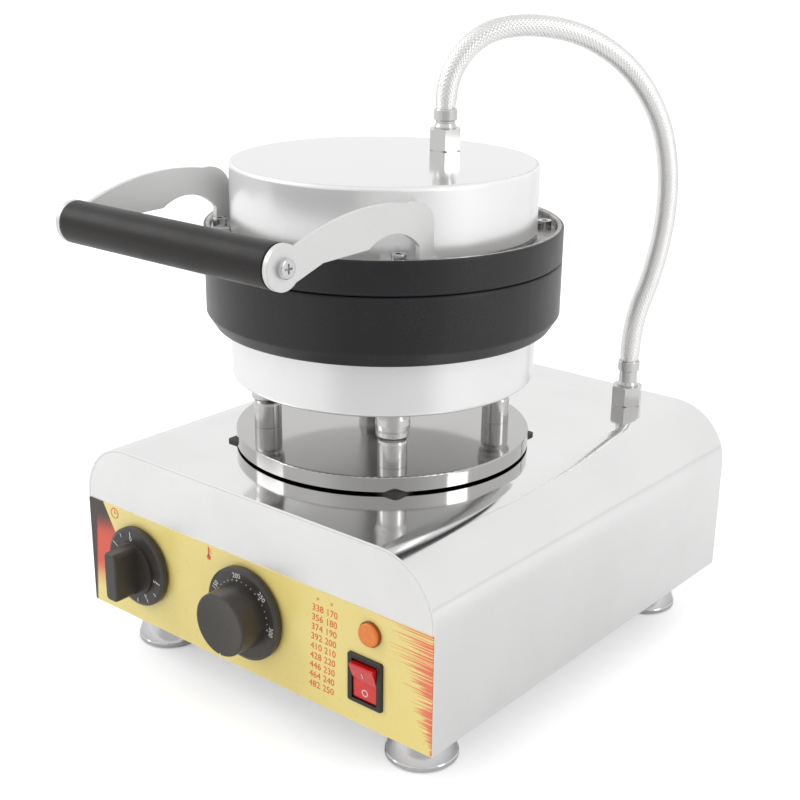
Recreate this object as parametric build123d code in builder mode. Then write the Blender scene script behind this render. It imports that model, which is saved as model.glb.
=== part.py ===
from build123d import *
from math import atan2, cos, degrees, radians, sin, tan
import os

os.makedirs("parts", exist_ok=True)

# Countertop waffle bowl maker, in millimetres. X runs to the right along the
# control panel, Y to the back, Z up. The floor is Z = 0, and the origin is
# under the middle of the footprint, which reaches from the handle bar to the
# cable gland.

# Base housing
base_width = 290.0
base_depth = 325.0
base_height = 116.0
bend_radius = 39.0
sheet = 1.5
panel_fit = 0.15
flange = 14.0
bottom_sheet = 1.2
bottom_inset = 2.5
decal_height = 74.8
decal_margin = 0.8
decal_thickness = 0.5

# Feet
foot_height = 29.5
foot_radius = 22.0
foot_neck_radius = 12.5
foot_inset = 35.0
foot_lip = 3.4
pad_radius = 17.5
pad_thickness = 3.0
pad_stand = 0.8

# Screws, by the radius of their shanks
m6 = 3.0
m5 = 2.5
m4 = 2.0
wire_bore = 1.5
thread_fit = 0.05
hole_fit = 0.3

# Round cooking head
axis_from_front = 126.5
gasket_side = 142.0
gasket_corner = 3.0
gasket_thickness = 1.5
disc_radius = 94.0
disc_height = 9.5
disc_wall = 2.0
post_spread = 52.0
post_height = 37.0
post_foot_radius = 8.8
post_head_radius = 10.5
drum_radius = 95.5
drum_wall = 1.2
drum_height = 34.0
ring_radius = 110.0
lower_ring_height = 41.0
lower_ring_taper = 5.0
ring_land = 9.0
drum_room = 1.5
seam_gap = 0.4
upper_ring_height = 20.0
rim_wall = 3.8
channel_depth = 6.0
cover_radius = 94.0
cover_wall = 1.2
cover_height = 37.0
cover_edge = 2.5
boss_fit = 0.3

# Waffle bowl cavity and the plug that closes it
cavity_radius = 72.0
cavity_depth = 42.0
cavity_floor_radius = 46.0
mould_wall = 8.0
batter_side = 10.0
batter_floor = 12.0
rib_height = 3.0
rib_width = 3.0
rib_pitch = 15.0
rib_count = 20

# Heating parts
heater_tube = 3.5
lower_heater_radius = 42.0
upper_heater_radius = 68.0
clamp_plate = 2.5
clamp_margin = 9.0
bulb_radius = 3.0
bulb_length = 46.0

# Handle
bar_from_axis = 171.0
bar_above_rim = 13.6
bar_radius = 12.0
arm_thickness = 3.0
arm_middle_x = 80.0
arm_leg_front = 66.0
arm_leg_width = 12.0
cap_screw_circle = 100.0
cap_head_radius = 4.3
cap_head_height = 5.0
tab_thickness = 3.0
side_room = 0.2

# Hinge at the back of the cooking head
pin_from_axis = 124.0
pin_above_seam = 5.0
pin_radius = 4.0
pin_fit = 0.05
knuckle_radius = 9.0
knuckle_half = 13.5
ear_width = 8.0
hinge_side_gap = 0.5
bracket_plate = 4.5
bracket_drop = 30.0

# Heat-proof hose between the base and the lid
hose_radius = 6.8
nut_flats = 19.0
nut_height = 13.5
base_ferrule_height = 18.0
lid_ferrule_height = 12.0
stub_radius = 6.0
stub_bore = 4.5
stub_depth = 10.0
base_fitting_x = 83.0
base_fitting_from_back = 31.9
lid_fitting_x = 4.0
lid_fitting_from_axis = 54.0

# Controls
control_z = 70.8
timer_x = 51.0 - base_width / 2
thermostat_x = 3.0
lamp_x = base_width / 2 - 44.5
lamp_z = 90.7
switch_x = base_width / 2 - 48.0
switch_z = 59.2
shaft_radius = 3.0
bushing_radius = 4.8
timer_skirt_radius = 26.5
thermostat_skirt_radius = 29.7
skirt_gap = 1.5
skirt_thickness = 4.5
timer_grip_width = 11.0
timer_grip_length = 33.0
timer_boss_radius = 17.6
timer_grip_height = 20.0
thermostat_grip_radius = 20.5
thermostat_grip_height = 18.0
lamp_radius = 7.7
lamp_hole_radius = 6.0
switch_cut_width = 22.0
switch_cut_height = 28.0
switch_bezel_width = 25.5
switch_bezel_height = 31.0
switch_bezel_thickness = 2.0
rocker_width = 17.6
rocker_height = 23.6
rocker_tilt = 11.0
rocker_room = 0.9

# Cable gland
gland_x = 50.0 - base_width / 2
gland_z = 62.0
gland_bore = 4.0
gland_thread_radius = 8.0
gland_reach = 15.0

# Heights and places that follow from the sizes above
base_bottom = foot_height
base_top = base_bottom + base_height
disc_bottom = base_top + gasket_thickness
disc_top = disc_bottom + disc_height
drum_bottom = disc_top + post_height
ring_bottom = drum_bottom + drum_height
seam = ring_bottom + lower_ring_height
lid_bottom = seam + seam_gap
rim_top = lid_bottom + upper_ring_height
channel_floor = rim_top - channel_depth
lid_top = rim_top + cover_height
front_reach = bar_from_axis + bar_radius - axis_from_front
overall_length = front_reach + base_depth + gland_reach
base_front = -overall_length / 2 + front_reach
base_back = base_front + base_depth
axis_y = base_front + axis_from_front
base_middle = (base_front + base_back) / 2
panel_back = base_front + sheet
decal_front = base_front - decal_thickness
post_radius_from_axis = post_spread * 2**0.5
pin_y = axis_y + pin_from_axis
pin_z = seam + pin_above_seam
base_fitting_y = base_back - base_fitting_from_back
lid_fitting_y = axis_y + lid_fitting_from_axis
round_axis = Axis((0, axis_y, 0), (0, 0, 1))
post_spots = GridLocations(2 * post_spread, 2 * post_spread, 2, 2)
post_corners = {
    "front_left": (-1, -1),
    "front_right": (1, -1),
    "rear_left": (-1, 1),
    "rear_right": (1, 1),
}
pieces = {}


def facing_front(y, x=0.0, z=0.0):
    """Plane whose sketch X is +X and sketch Y is +Z, extruded towards the front."""
    return Plane(origin=(x, y, z), x_dir=(1, 0, 0), z_dir=(0, -1, 0))


def facing_right(x, y=0.0, z=0.0):
    """Plane whose sketch X is +Y and sketch Y is +Z, extruded to the right."""
    return Plane(origin=(x, y, z), x_dir=(0, 1, 0), z_dir=(1, 0, 0))


def level(z, x=0.0, y=0.0):
    """Horizontal plane at a height, centred on a point."""
    return Plane(origin=(x, y, z))


def head_level(z):
    """Horizontal plane centred on the cooking head."""
    return Plane(origin=(0, axis_y, z))


def housing_outline(inset):
    """Cross-section of the wrapped housing, square below and bent above."""
    width = base_width - 2 * inset
    height = base_height - inset
    with BuildSketch() as outline:
        with Locations((0, base_bottom + height / 2)):
            Rectangle(width, height)
        upper = outline.vertices().group_by(Axis.Y)[-1]
        fillet(upper, bend_radius - inset)
    return outline.sketch


def turned(points, x, y):
    """Solid of revolution about an upright axis, from (radius, height) points."""
    with BuildPart() as piece:
        with BuildSketch(facing_front(y, x)):
            with BuildLine():
                Polyline(*points, close=True)
            make_face()
        revolve(axis=Axis((x, y, 0), (0, 0, 1)))
    return piece.part


# Housing: one wrapped sheet makes the top and both sides.
with BuildPart() as base_shell:
    with BuildSketch(facing_front(base_front)):
        add(housing_outline(0))
        add(housing_outline(sheet), mode=Mode.SUBTRACT)
    extrude(amount=-base_depth)
    for side in (-1, 1):
        flange_x = side * (base_width / 2 - flange / 2)
        with Locations((flange_x, base_middle, base_bottom + sheet / 2)):
            Box(flange, base_depth - 2 * flange - 4, sheet)
    with BuildSketch(head_level(base_top)):
        with post_spots:
            Circle(m6 + hole_fit)
    extrude(amount=-2 * sheet, mode=Mode.SUBTRACT)
    with Locations((base_fitting_x, base_fitting_y, base_top - sheet / 2)):
        Cylinder(stub_radius + hole_fit, 3 * sheet, mode=Mode.SUBTRACT)
pieces["base_shell"] = base_shell

# Panels: trays whose flanges stand inside the wrapped sheet.
panel_screw_x = (-100.0, 100.0)
side_screw_y = (base_middle - 70.0, base_middle + 70.0)


def panel_tray(outer_y, inward):
    """Panel with a flange all round, from its outer face towards the inside."""
    with BuildPart() as tray:
        with BuildSketch(facing_front(outer_y)):
            add(housing_outline(sheet + panel_fit))
        extrude(amount=-inward * flange)
        with BuildSketch(facing_front(outer_y + inward * sheet)):
            add(housing_outline(2 * sheet + panel_fit))
            with Locations((0, base_bottom)):
                Rectangle(base_width, 2 * sheet, mode=Mode.SUBTRACT)
        extrude(amount=-inward * flange, mode=Mode.SUBTRACT)
        for screw_x in panel_screw_x:
            screw_y = outer_y + inward * flange * 0.6
            with Locations((screw_x, screw_y, base_bottom)):
                Cylinder(m4 + thread_fit, 4 * sheet, mode=Mode.SUBTRACT)
    return tray.part


control_holes = {
    "timer": (timer_x, control_z, bushing_radius + hole_fit),
    "thermostat": (thermostat_x, control_z, bushing_radius + hole_fit),
    "lamp": (lamp_x, lamp_z, lamp_hole_radius + hole_fit),
}


def control_cutters(y, depth):
    """Cutters for the two shafts, the lamp and the switch."""
    with BuildPart() as cutters:
        with BuildSketch(facing_front(y)):
            for hole_x, hole_z, hole_radius in control_holes.values():
                with Locations((hole_x, hole_z)):
                    Circle(hole_radius)
            with Locations((switch_x, switch_z)):
                Rectangle(switch_cut_width, switch_cut_height)
        extrude(amount=depth, both=True)
    return cutters.part


with BuildPart() as front_panel:
    add(panel_tray(base_front, 1))
    add(control_cutters(base_front, 2 * sheet), mode=Mode.SUBTRACT)
pieces["front_panel"] = front_panel

with BuildPart() as fascia_decal:
    with BuildSketch(facing_front(base_front)):
        with Locations((0, base_bottom + decal_height / 2)):
            RectangleRounded(base_width - 2 * decal_margin, decal_height, 1.0)
    extrude(amount=decal_thickness)
    add(control_cutters(base_front, 2 * sheet), mode=Mode.SUBTRACT)
pieces["fascia_decal"] = fascia_decal

vent_length = 46.0
vent_width = 3.0
vent_pitch = 8.0
vent_rows = 6
with BuildPart() as rear_panel:
    add(panel_tray(base_back, -1))
    with BuildSketch(facing_front(base_back)):
        with Locations((gland_x, gland_z)):
            Circle(gland_thread_radius + hole_fit)
        with Locations((20, base_bottom + base_height / 2)):
            with GridLocations(vent_length + 14, vent_pitch, 2, vent_rows):
                SlotOverall(vent_length, vent_width)
    extrude(amount=2 * sheet, both=True, mode=Mode.SUBTRACT)
pieces["rear_panel"] = rear_panel

foot_x = base_width / 2 - foot_inset
foot_spots = [
    (side * foot_x, base_middle + end * (base_depth / 2 - foot_inset))
    for side in (-1, 1)
    for end in (-1, 1)
]
bottom_width = base_width - 2 * bottom_inset
bottom_length = base_depth - 2 * bottom_inset
side_screw_x = base_width / 2 - flange / 2
panel_screw_spots = [
    (screw_x, screw_y)
    for screw_x in panel_screw_x
    for screw_y in (base_front + flange * 0.6, base_back - flange * 0.6)
]
side_screw_spots = [
    (side * side_screw_x, screw_y) for side in (-1, 1) for screw_y in side_screw_y
]
with BuildPart() as bottom_plate:
    with BuildSketch(level(base_bottom - bottom_sheet)):
        with Locations((0, base_middle)):
            RectangleRounded(bottom_width, bottom_length, 4)
            with GridLocations(0, vent_pitch * 1.5, 1, 7):
                SlotOverall(2 * vent_length, vent_width, mode=Mode.SUBTRACT)
        with Locations(*foot_spots):
            Circle(m6 + hole_fit, mode=Mode.SUBTRACT)
        with Locations(*panel_screw_spots, *side_screw_spots):
            Circle(m4 + hole_fit, mode=Mode.SUBTRACT)
    extrude(amount=bottom_sheet)
pieces["bottom_plate"] = bottom_plate

# The wrapped sheet's own flanges take the side screws.
with BuildPart() as drilled_shell:
    add(base_shell.part)
    with Locations(*[(x, y, base_bottom) for x, y in side_screw_spots]):
        Cylinder(m4 + thread_fit, 4 * sheet, mode=Mode.SUBTRACT)
pieces["base_shell"] = drilled_shell

screw_head = 2.2
with BuildPart() as bottom_screws:
    for x, y in panel_screw_spots + side_screw_spots:
        with Locations((x, y, base_bottom - bottom_sheet - screw_head / 2)):
            Cylinder(2 * m4, screw_head)
        with Locations((x, y, base_bottom - bottom_sheet)):
            Cylinder(
                m4, bottom_sheet + sheet + 3, align=(Align.CENTER, Align.CENTER, Align.MIN)
            )
pieces["bottom_screws"] = bottom_screws

# Feet: flared bells with a rubber pad let into the underside.
foot_top = base_bottom - bottom_sheet
foot_bolt_depth = 16.0
for name, (side, end) in post_corners.items():
    x = side * foot_x
    y = base_middle + end * (base_depth / 2 - foot_inset)
    with BuildPart() as foot:
        with BuildSketch(facing_front(y, x)):
            with BuildLine():
                Polyline(
                    (0, pad_thickness),
                    (pad_radius + thread_fit, pad_thickness),
                    (pad_radius + thread_fit, pad_stand),
                    (foot_radius - 0.6, pad_stand),
                    (foot_radius, pad_stand + 0.6),
                    (foot_radius, foot_lip + pad_stand - 0.6),
                    (foot_radius - 0.5, foot_lip + pad_stand),
                )
                SagittaArc(
                    (foot_radius - 0.5, foot_lip + pad_stand),
                    (foot_neck_radius, foot_top),
                    -0.8,
                )
                Polyline((foot_neck_radius, foot_top), (0, foot_top), (0, pad_thickness))
            make_face()
        revolve(axis=Axis((x, y, 0), (0, 0, 1)))
        with Locations((x, y, foot_top)):
            Cylinder(m6, 2 * foot_bolt_depth, mode=Mode.SUBTRACT)
    pieces["foot_" + name] = foot

with BuildPart() as foot_pads:
    for x, y in foot_spots:
        with BuildSketch(level(0, x, y)):
            Circle(pad_radius)
        extrude(amount=pad_thickness)
pieces["foot_pads"] = foot_pads

with BuildPart() as foot_bolts:
    for x, y in foot_spots:
        with BuildSketch(level(base_bottom, x, y)):
            RegularPolygon(2 * m6, 6)
        extrude(amount=4)
        with BuildSketch(level(foot_top - foot_bolt_depth + 2, x, y)):
            Circle(m6 - thread_fit)
        extrude(amount=foot_bolt_depth - 2 + bottom_sheet + 1)
pieces["foot_bolts"] = foot_bolts

# Foot of the cooking head: gasket, polished disc and four turned posts.
with BuildPart() as heat_gasket:
    with BuildSketch(head_level(base_top)):
        RectangleRounded(gasket_side, gasket_side, gasket_corner)
        with post_spots:
            Circle(m6 + hole_fit, mode=Mode.SUBTRACT)
    extrude(amount=gasket_thickness)
pieces["heat_gasket"] = heat_gasket

with BuildPart() as support_disc:
    with BuildSketch(head_level(disc_bottom)):
        Circle(disc_radius)
    extrude(amount=disc_height)
    fillet(support_disc.faces().sort_by(Axis.Z)[-1].edges(), 0.8)
    with BuildSketch(head_level(disc_bottom)):
        Circle(disc_radius - disc_wall)
        with post_spots:
            Circle(post_foot_radius, mode=Mode.SUBTRACT)
    extrude(amount=disc_height - disc_wall, mode=Mode.SUBTRACT)
    with BuildSketch(head_level(disc_bottom)):
        with post_spots:
            Circle(m6 + hole_fit)
    extrude(amount=disc_height, mode=Mode.SUBTRACT)
pieces["support_disc"] = support_disc

post_profile = [
    (m6 + hole_fit, 0.0),
    (post_foot_radius, 0.0),
    (post_foot_radius, 0.40),
    (post_foot_radius - 0.5, 0.44),
    (post_foot_radius + 0.3, 0.49),
    (post_head_radius - 0.4, 0.53),
    (post_head_radius - 0.4, 0.61),
    (post_head_radius - 0.8, 0.615),
    (post_head_radius - 0.8, 0.63),
    (post_head_radius - 0.3, 0.635),
    (post_head_radius, 0.72),
    (post_head_radius - 0.3, 0.82),
    (post_head_radius - 1.4, 0.90),
    (post_head_radius - 1.4, 1.0),
    (m6 + hole_fit, 1.0),
]
for name, (side, end) in post_corners.items():
    post_points = [(r, disc_top + share * post_height) for r, share in post_profile]
    with BuildPart() as post:
        add(turned(post_points, side * post_spread, axis_y + end * post_spread))
    pieces["post_" + name] = post

# Lower half: polished drum, cast mould with the bowl cavity, heater and wool.
drum_top = seam - ring_land
with BuildPart() as lower_drum:
    with BuildSketch(head_level(drum_bottom)):
        Circle(drum_radius)
    extrude(amount=drum_top - drum_bottom)
    fillet(lower_drum.faces().sort_by(Axis.Z)[0].edges(), cover_edge)
    with BuildSketch(head_level(drum_bottom + drum_wall)):
        Circle(drum_radius - drum_wall)
    extrude(amount=drum_top - drum_bottom, mode=Mode.SUBTRACT)
    with BuildSketch(head_level(drum_bottom)):
        with post_spots:
            Circle(m6 + hole_fit)
    extrude(amount=2 * drum_wall, mode=Mode.SUBTRACT)
pieces["lower_drum"] = lower_drum


def bowl_curve(top_radius, top, floor_radius, floor):
    """Points of a bowl's side from its lip to its flat floor, with a round heel."""
    heel = (top - floor) * 0.45
    slope = (top_radius - floor_radius) / (top - floor)
    wall_end = (floor_radius + slope * heel * 0.9, floor + heel * 0.9)
    floor_end = (floor_radius - heel * 0.75, floor)
    middle = (
        (wall_end[0] + floor_end[0]) / 2 + heel * 0.21,
        (wall_end[1] + floor_end[1]) / 2 - heel * 0.19,
    )
    return (top_radius, top), wall_end, middle, floor_end


def bowl_solid(top_radius, top, floor_radius, floor):
    """Solid that fills a bowl shape under a flat top."""
    lip, wall_end, middle, floor_end = bowl_curve(top_radius, top, floor_radius, floor)
    with BuildPart() as bowl:
        with BuildSketch(facing_front(axis_y)):
            with BuildLine():
                Polyline((0, floor), (0, top), lip, wall_end)
                ThreePointArc(wall_end, middle, floor_end)
                Line(floor_end, (0, floor))
            make_face()
        revolve(axis=round_axis)
    return bowl.part


def waffle_ribs(inner, outer, floor_radius, low, high):
    """Raised grid between two bowl solids: squares on the floor, spokes on the side."""
    tall = high - low
    with BuildPart() as lattice:
        with BuildSketch(head_level(low)):
            with GridLocations(rib_pitch, 0, 7, 1):
                Rectangle(rib_width, 2 * floor_radius)
            with GridLocations(0, rib_pitch, 1, 7):
                Rectangle(2 * floor_radius, rib_width)
            Circle(floor_radius, mode=Mode.INTERSECT)
            with PolarLocations(floor_radius + tall / 2, rib_count):
                Rectangle(tall + 2 * rib_width, rib_width)
            Circle(floor_radius)
            Circle(floor_radius - rib_width, mode=Mode.SUBTRACT)
            with GridLocations(rib_pitch, 0, 7, 1):
                Rectangle(rib_width, 2 * (floor_radius - rib_width))
            with GridLocations(0, rib_pitch, 1, 7):
                Rectangle(2 * (floor_radius - rib_width), rib_width)
        extrude(amount=tall)
        with BuildSketch(head_level(low + tall * 0.55)):
            Circle(2 * floor_radius)
        extrude(amount=rib_width)
    return (outer - inner) & lattice.part


cavity_floor = seam - cavity_depth
mould_foot = cavity_floor - mould_wall
floor_rib_radius = cavity_floor_radius * 0.86
plug_floor_radius = cavity_floor_radius - batter_side
plug_radius = cavity_radius - batter_side
plug_foot = cavity_floor + batter_floor
ring_pocket = drum_radius + drum_room
boss_radius = 6.5
cavity = bowl_solid(cavity_radius, seam, cavity_floor_radius, cavity_floor)
cavity_inner = bowl_solid(
    cavity_radius - rib_height, seam, cavity_floor_radius - rib_height, cavity_floor + rib_height
)
cavity_outer = bowl_solid(cavity_radius + 1, seam, cavity_floor_radius + 1, cavity_floor - 1)
with BuildPart() as lower_mould:
    with BuildSketch(facing_front(axis_y)):
        with BuildLine():
            Polyline(
                (0, seam),
                (ring_radius - 0.8, seam),
                (ring_radius, seam - 0.8),
                (ring_radius, ring_bottom + 1.6 * lower_ring_taper),
                (ring_radius - lower_ring_taper, ring_bottom),
                (ring_pocket, ring_bottom),
                (ring_pocket, seam - ring_land),
                (cavity_radius + mould_wall, seam - ring_land),
                (cavity_floor_radius + mould_wall + 8, mould_foot + mould_wall),
                (cavity_floor_radius + mould_wall, mould_foot),
                (0, mould_foot),
                close=True,
            )
        make_face()
    revolve(axis=round_axis)
    with BuildSketch(head_level(drum_bottom + drum_wall)):
        with post_spots:
            Circle(boss_radius)
    extrude(amount=seam - ring_land - drum_bottom - drum_wall)
    add(cavity, mode=Mode.SUBTRACT)
    add(waffle_ribs(cavity_inner, cavity_outer, floor_rib_radius, cavity_floor - 1, seam - 2))
    with BuildSketch(head_level(drum_bottom + drum_wall)):
        with post_spots:
            Circle(m6)
    extrude(amount=16, mode=Mode.SUBTRACT)
    with Locations((0, axis_y + lower_heater_radius - 14, mould_foot - 0.01)):
        Cylinder(m5, 8, mode=Mode.SUBTRACT)
pieces["lower_mould"] = lower_mould

with BuildPart() as lower_heater:
    with BuildSketch(facing_front(axis_y)):
        with Locations((lower_heater_radius, mould_foot - heater_tube)):
            Circle(heater_tube)
    revolve(axis=round_axis, revolution_arc=335)
pieces["lower_heater"] = lower_heater

lower_clamp_top = mould_foot - 2 * heater_tube
with BuildPart() as lower_clamp_plate:
    with BuildSketch(head_level(lower_clamp_top - clamp_plate)):
        Circle(lower_heater_radius + clamp_margin)
        Circle(bushing_radius + 8, mode=Mode.SUBTRACT)
    extrude(amount=clamp_plate)
pieces["lower_clamp_plate"] = lower_clamp_plate

with BuildPart() as lower_wool:
    with BuildSketch(head_level(drum_bottom + drum_wall)):
        Circle(post_radius_from_axis - boss_radius - 3)
        Circle(bushing_radius + 8, mode=Mode.SUBTRACT)
    extrude(amount=lower_clamp_top - clamp_plate - drum_bottom - drum_wall)
pieces["lower_wool"] = lower_wool

post_bolt_head = 4.0
post_bolt_top = drum_bottom + drum_wall + 14
with BuildPart() as post_bolts:
    with BuildSketch(head_level(base_top - sheet - post_bolt_head)):
        with post_spots:
            RegularPolygon(2 * m6, 6)
    extrude(amount=post_bolt_head)
    with BuildSketch(head_level(base_top - sheet - 1)):
        with post_spots:
            Circle(m6 - thread_fit)
    extrude(amount=post_bolt_top - base_top + sheet + 1)
    with BuildSketch(head_level(base_top - sheet - post_bolt_head)):
        with post_spots:
            Circle(wire_bore)
    extrude(amount=post_bolt_top, mode=Mode.SUBTRACT)
pieces["post_bolts"] = post_bolts

# Lid: cast ring with a channel, and a plug that enters the cavity.
lid_boss_radius = cover_radius - cover_wall - boss_fit
lid_boss_wall = 6.0
lid_land = lid_bottom + ring_land
plug = bowl_solid(plug_radius, lid_bottom + 1, plug_floor_radius, plug_foot)
plug_core = bowl_solid(plug_radius - 1, lid_bottom, plug_floor_radius - 1, plug_foot + 1)
plug_ribbed = bowl_solid(
    plug_radius + rib_height, lid_bottom, plug_floor_radius + rib_height, plug_foot - rib_height
)
plug_hollow = bowl_solid(
    plug_radius - mould_wall,
    lid_land + 1,
    plug_floor_radius - mould_wall + 4,
    plug_foot + mould_wall,
)
with BuildPart() as upper_mould:
    with BuildSketch(facing_front(axis_y)):
        with BuildLine():
            Polyline(
                (0, lid_bottom),
                (ring_radius - 0.8, lid_bottom),
                (ring_radius, lid_bottom + 0.8),
                (ring_radius, rim_top - 0.6),
                (ring_radius - 0.6, rim_top),
                (ring_radius - rim_wall + 0.3, rim_top),
                (ring_radius - rim_wall, rim_top - 0.3),
                (ring_radius - rim_wall, channel_floor),
                (lid_boss_radius, channel_floor),
                (lid_boss_radius, rim_top + 4),
                (lid_boss_radius - lid_boss_wall, rim_top + 4),
                (lid_boss_radius - lid_boss_wall, lid_land),
                (0, lid_land),
                close=True,
            )
        make_face()
    revolve(axis=round_axis)
    add(plug)
    add(waffle_ribs(plug_core, plug_ribbed, floor_rib_radius - batter_side, plug_foot - 4, seam - 3))
    add(plug_hollow, mode=Mode.SUBTRACT)
    with BuildSketch(head_level(channel_floor)):
        with PolarLocations(cap_screw_circle, 4, 45):
            Circle(m5)
    extrude(amount=-8, mode=Mode.SUBTRACT)
pieces["upper_mould"] = upper_mould

with BuildPart() as lid_cover:
    with BuildSketch(head_level(channel_floor + 2.5)):
        Circle(cover_radius)
    extrude(amount=lid_top - channel_floor - 2.5)
    fillet(lid_cover.faces().sort_by(Axis.Z)[-1].edges(), cover_edge)
    with BuildSketch(head_level(channel_floor + 2.5)):
        Circle(cover_radius - cover_wall)
    extrude(amount=lid_top - channel_floor - 2.5 - cover_wall, mode=Mode.SUBTRACT)
    with Locations((lid_fitting_x, lid_fitting_y, lid_top)):
        Cylinder(stub_radius + hole_fit, 4 * cover_wall, mode=Mode.SUBTRACT)
pieces["lid_cover"] = lid_cover

with BuildPart() as upper_heater:
    with BuildSketch(facing_front(axis_y)):
        with Locations((upper_heater_radius, lid_land + heater_tube)):
            Circle(heater_tube)
    revolve(axis=round_axis, revolution_arc=335)
pieces["upper_heater"] = upper_heater

upper_clamp_bottom = lid_land + 2 * heater_tube
with BuildPart() as upper_clamp_plate:
    with BuildSketch(head_level(upper_clamp_bottom)):
        Circle(upper_heater_radius + clamp_margin)
        Circle(upper_heater_radius - clamp_margin, mode=Mode.SUBTRACT)
    extrude(amount=clamp_plate)
pieces["upper_clamp_plate"] = upper_clamp_plate

wool_thickness = 18.0
with BuildPart() as lid_wool:
    with BuildSketch(head_level(upper_clamp_bottom + clamp_plate)):
        Circle(lid_boss_radius - lid_boss_wall - 1)
    extrude(amount=wool_thickness)
pieces["lid_wool"] = lid_wool

# Handle: two flat arms that stand in the ring's channel, and a round grip.
arm_foot = channel_floor
bar_z = rim_top + bar_above_rim
bar_y = axis_y - bar_from_axis
leg_front = axis_y - arm_leg_front
leg_back = leg_front + arm_leg_width
arm_crown = rim_top + 33.6
arm_belly = rim_top + 12.0
arm_arch = rim_top + 15.6
tab_span = (-51.0, -31.0)
tab_room = 0.4


def arm_tab(side):
    """Foot of an arm: a piece of the channel's ring, under a cap screw."""
    inner = cover_radius + tab_room
    outer = ring_radius - rim_wall - tab_room
    with BuildPart() as tab:
        with BuildSketch(head_level(arm_foot)):
            with BuildLine():
                a, b = (radians(angle) for angle in tab_span)
                middle = (a + b) / 2
                inner_a = (side * inner * cos(a), inner * sin(a))
                inner_b = (side * inner * cos(b), inner * sin(b))
                inner_middle = (side * inner * cos(middle), inner * sin(middle))
                outer_a = (side * outer * cos(a), outer * sin(a))
                outer_b = (side * outer * cos(b), outer * sin(b))
                outer_middle = (side * outer * cos(middle), outer * sin(middle))
                ThreePointArc(inner_a, inner_middle, inner_b)
                Line(inner_b, outer_b)
                ThreePointArc(outer_b, outer_middle, outer_a)
                Line(outer_a, inner_a)
            make_face()
        extrude(amount=tab_thickness)
    return tab.part


for name, side in {"left": -1, "right": 1}.items():
    inner_face = side * arm_middle_x - arm_thickness / 2
    with BuildPart() as arm:
        with BuildSketch(facing_right(inner_face)) as arm_outline:
            with BuildLine():
                crown_start = (bar_y + 8.2, bar_z + 8.76)
                crown_end = (axis_y - 74, arm_crown - 2.2)
                shoulder = (leg_back, rim_top + 19)
                belly_start = (bar_y + 8.2, bar_z - 8.76)
                belly_low = (axis_y - 143, arm_belly - 0.8)
                belly_end = (axis_y - 108, arm_belly)
                arch_end = (leg_front, rim_top + 7)
                ThreePointArc(crown_start, (axis_y - 114, arm_crown), crown_end)
                ThreePointArc(crown_end, (leg_back - 5, arm_crown - 6.5), shoulder)
                Polyline(shoulder, (leg_back, arm_foot), (leg_front, arm_foot), arch_end)
                ThreePointArc(arch_end, (axis_y - 80, arm_arch), belly_end)
                Line(belly_end, belly_low)
                ThreePointArc(belly_low, (axis_y - 153, arm_belly - 4), belly_start)
                ThreePointArc(belly_start, (bar_y - bar_radius, bar_z), crown_start)
            make_face()
            with Locations((bar_y, bar_z)):
                Circle(m6 + hole_fit, mode=Mode.SUBTRACT)
        extrude(amount=arm_thickness)
        add(arm_tab(side))
        screw_turn = radians(-45)
        screw_x = side * cap_screw_circle * cos(screw_turn)
        screw_y = axis_y + cap_screw_circle * sin(screw_turn)
        with Locations((screw_x, screw_y, arm_foot)):
            Cylinder(m5 + hole_fit, 4 * tab_thickness, mode=Mode.SUBTRACT)
    pieces["handle_arm_" + name] = arm

bar_half = arm_middle_x - arm_thickness / 2 - side_room
handle_bore_depth = 18.0
with BuildPart() as handle_bar:
    with BuildSketch(facing_right(-bar_half, bar_y, bar_z)):
        Circle(bar_radius)
    extrude(amount=2 * bar_half)
    chamfer(handle_bar.edges().filter_by(GeomType.CIRCLE), 1.2)
    for end in (-1, 1):
        with BuildSketch(facing_right(end * bar_half, bar_y, bar_z)):
            Circle(m6)
        extrude(amount=-end * handle_bore_depth, mode=Mode.SUBTRACT)
pieces["handle_bar"] = handle_bar

pan_radius = 5.4
pan_height = 3.2
with BuildPart() as handle_screws:
    for end in (-1, 1):
        outer_face = end * (arm_middle_x + arm_thickness / 2)
        with BuildSketch(facing_right(outer_face, bar_y, bar_z)):
            Circle(pan_radius)
        extrude(amount=end * pan_height)
        with BuildSketch(facing_right(outer_face + end * pan_height, bar_y, bar_z)):
            Rectangle(5.2, 1.1)
            Rectangle(1.1, 5.2)
        extrude(amount=-end * 1.6, mode=Mode.SUBTRACT)
        with BuildSketch(facing_right(outer_face + end * 0.5, bar_y, bar_z)):
            Circle(m6 - thread_fit)
        extrude(amount=-end * (arm_thickness + handle_bore_depth - 2))
    rims = handle_screws.edges().filter_by(GeomType.CIRCLE).group_by(Axis.X)
    fillet(rims[0] + rims[-1], 1.3)
pieces["handle_screws"] = handle_screws

with BuildPart() as cap_screws:
    for turn in (45, 135, -45, -135):
        seat = channel_floor + (tab_thickness if turn < 0 else 0)
        x = cap_screw_circle * cos(radians(turn))
        y = axis_y + cap_screw_circle * sin(radians(turn))
        with BuildSketch(level(seat, x, y)):
            Circle(cap_head_radius)
        extrude(amount=cap_head_height)
        with BuildSketch(level(seat + cap_head_height, x, y)):
            RegularPolygon(2.3, 6)
        extrude(amount=-2.6, mode=Mode.SUBTRACT)
        with BuildSketch(level(channel_floor - 7, x, y)):
            Circle(m5 - thread_fit)
        extrude(amount=7 + seat - channel_floor + 0.5)
pieces["cap_screws"] = cap_screws

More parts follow.
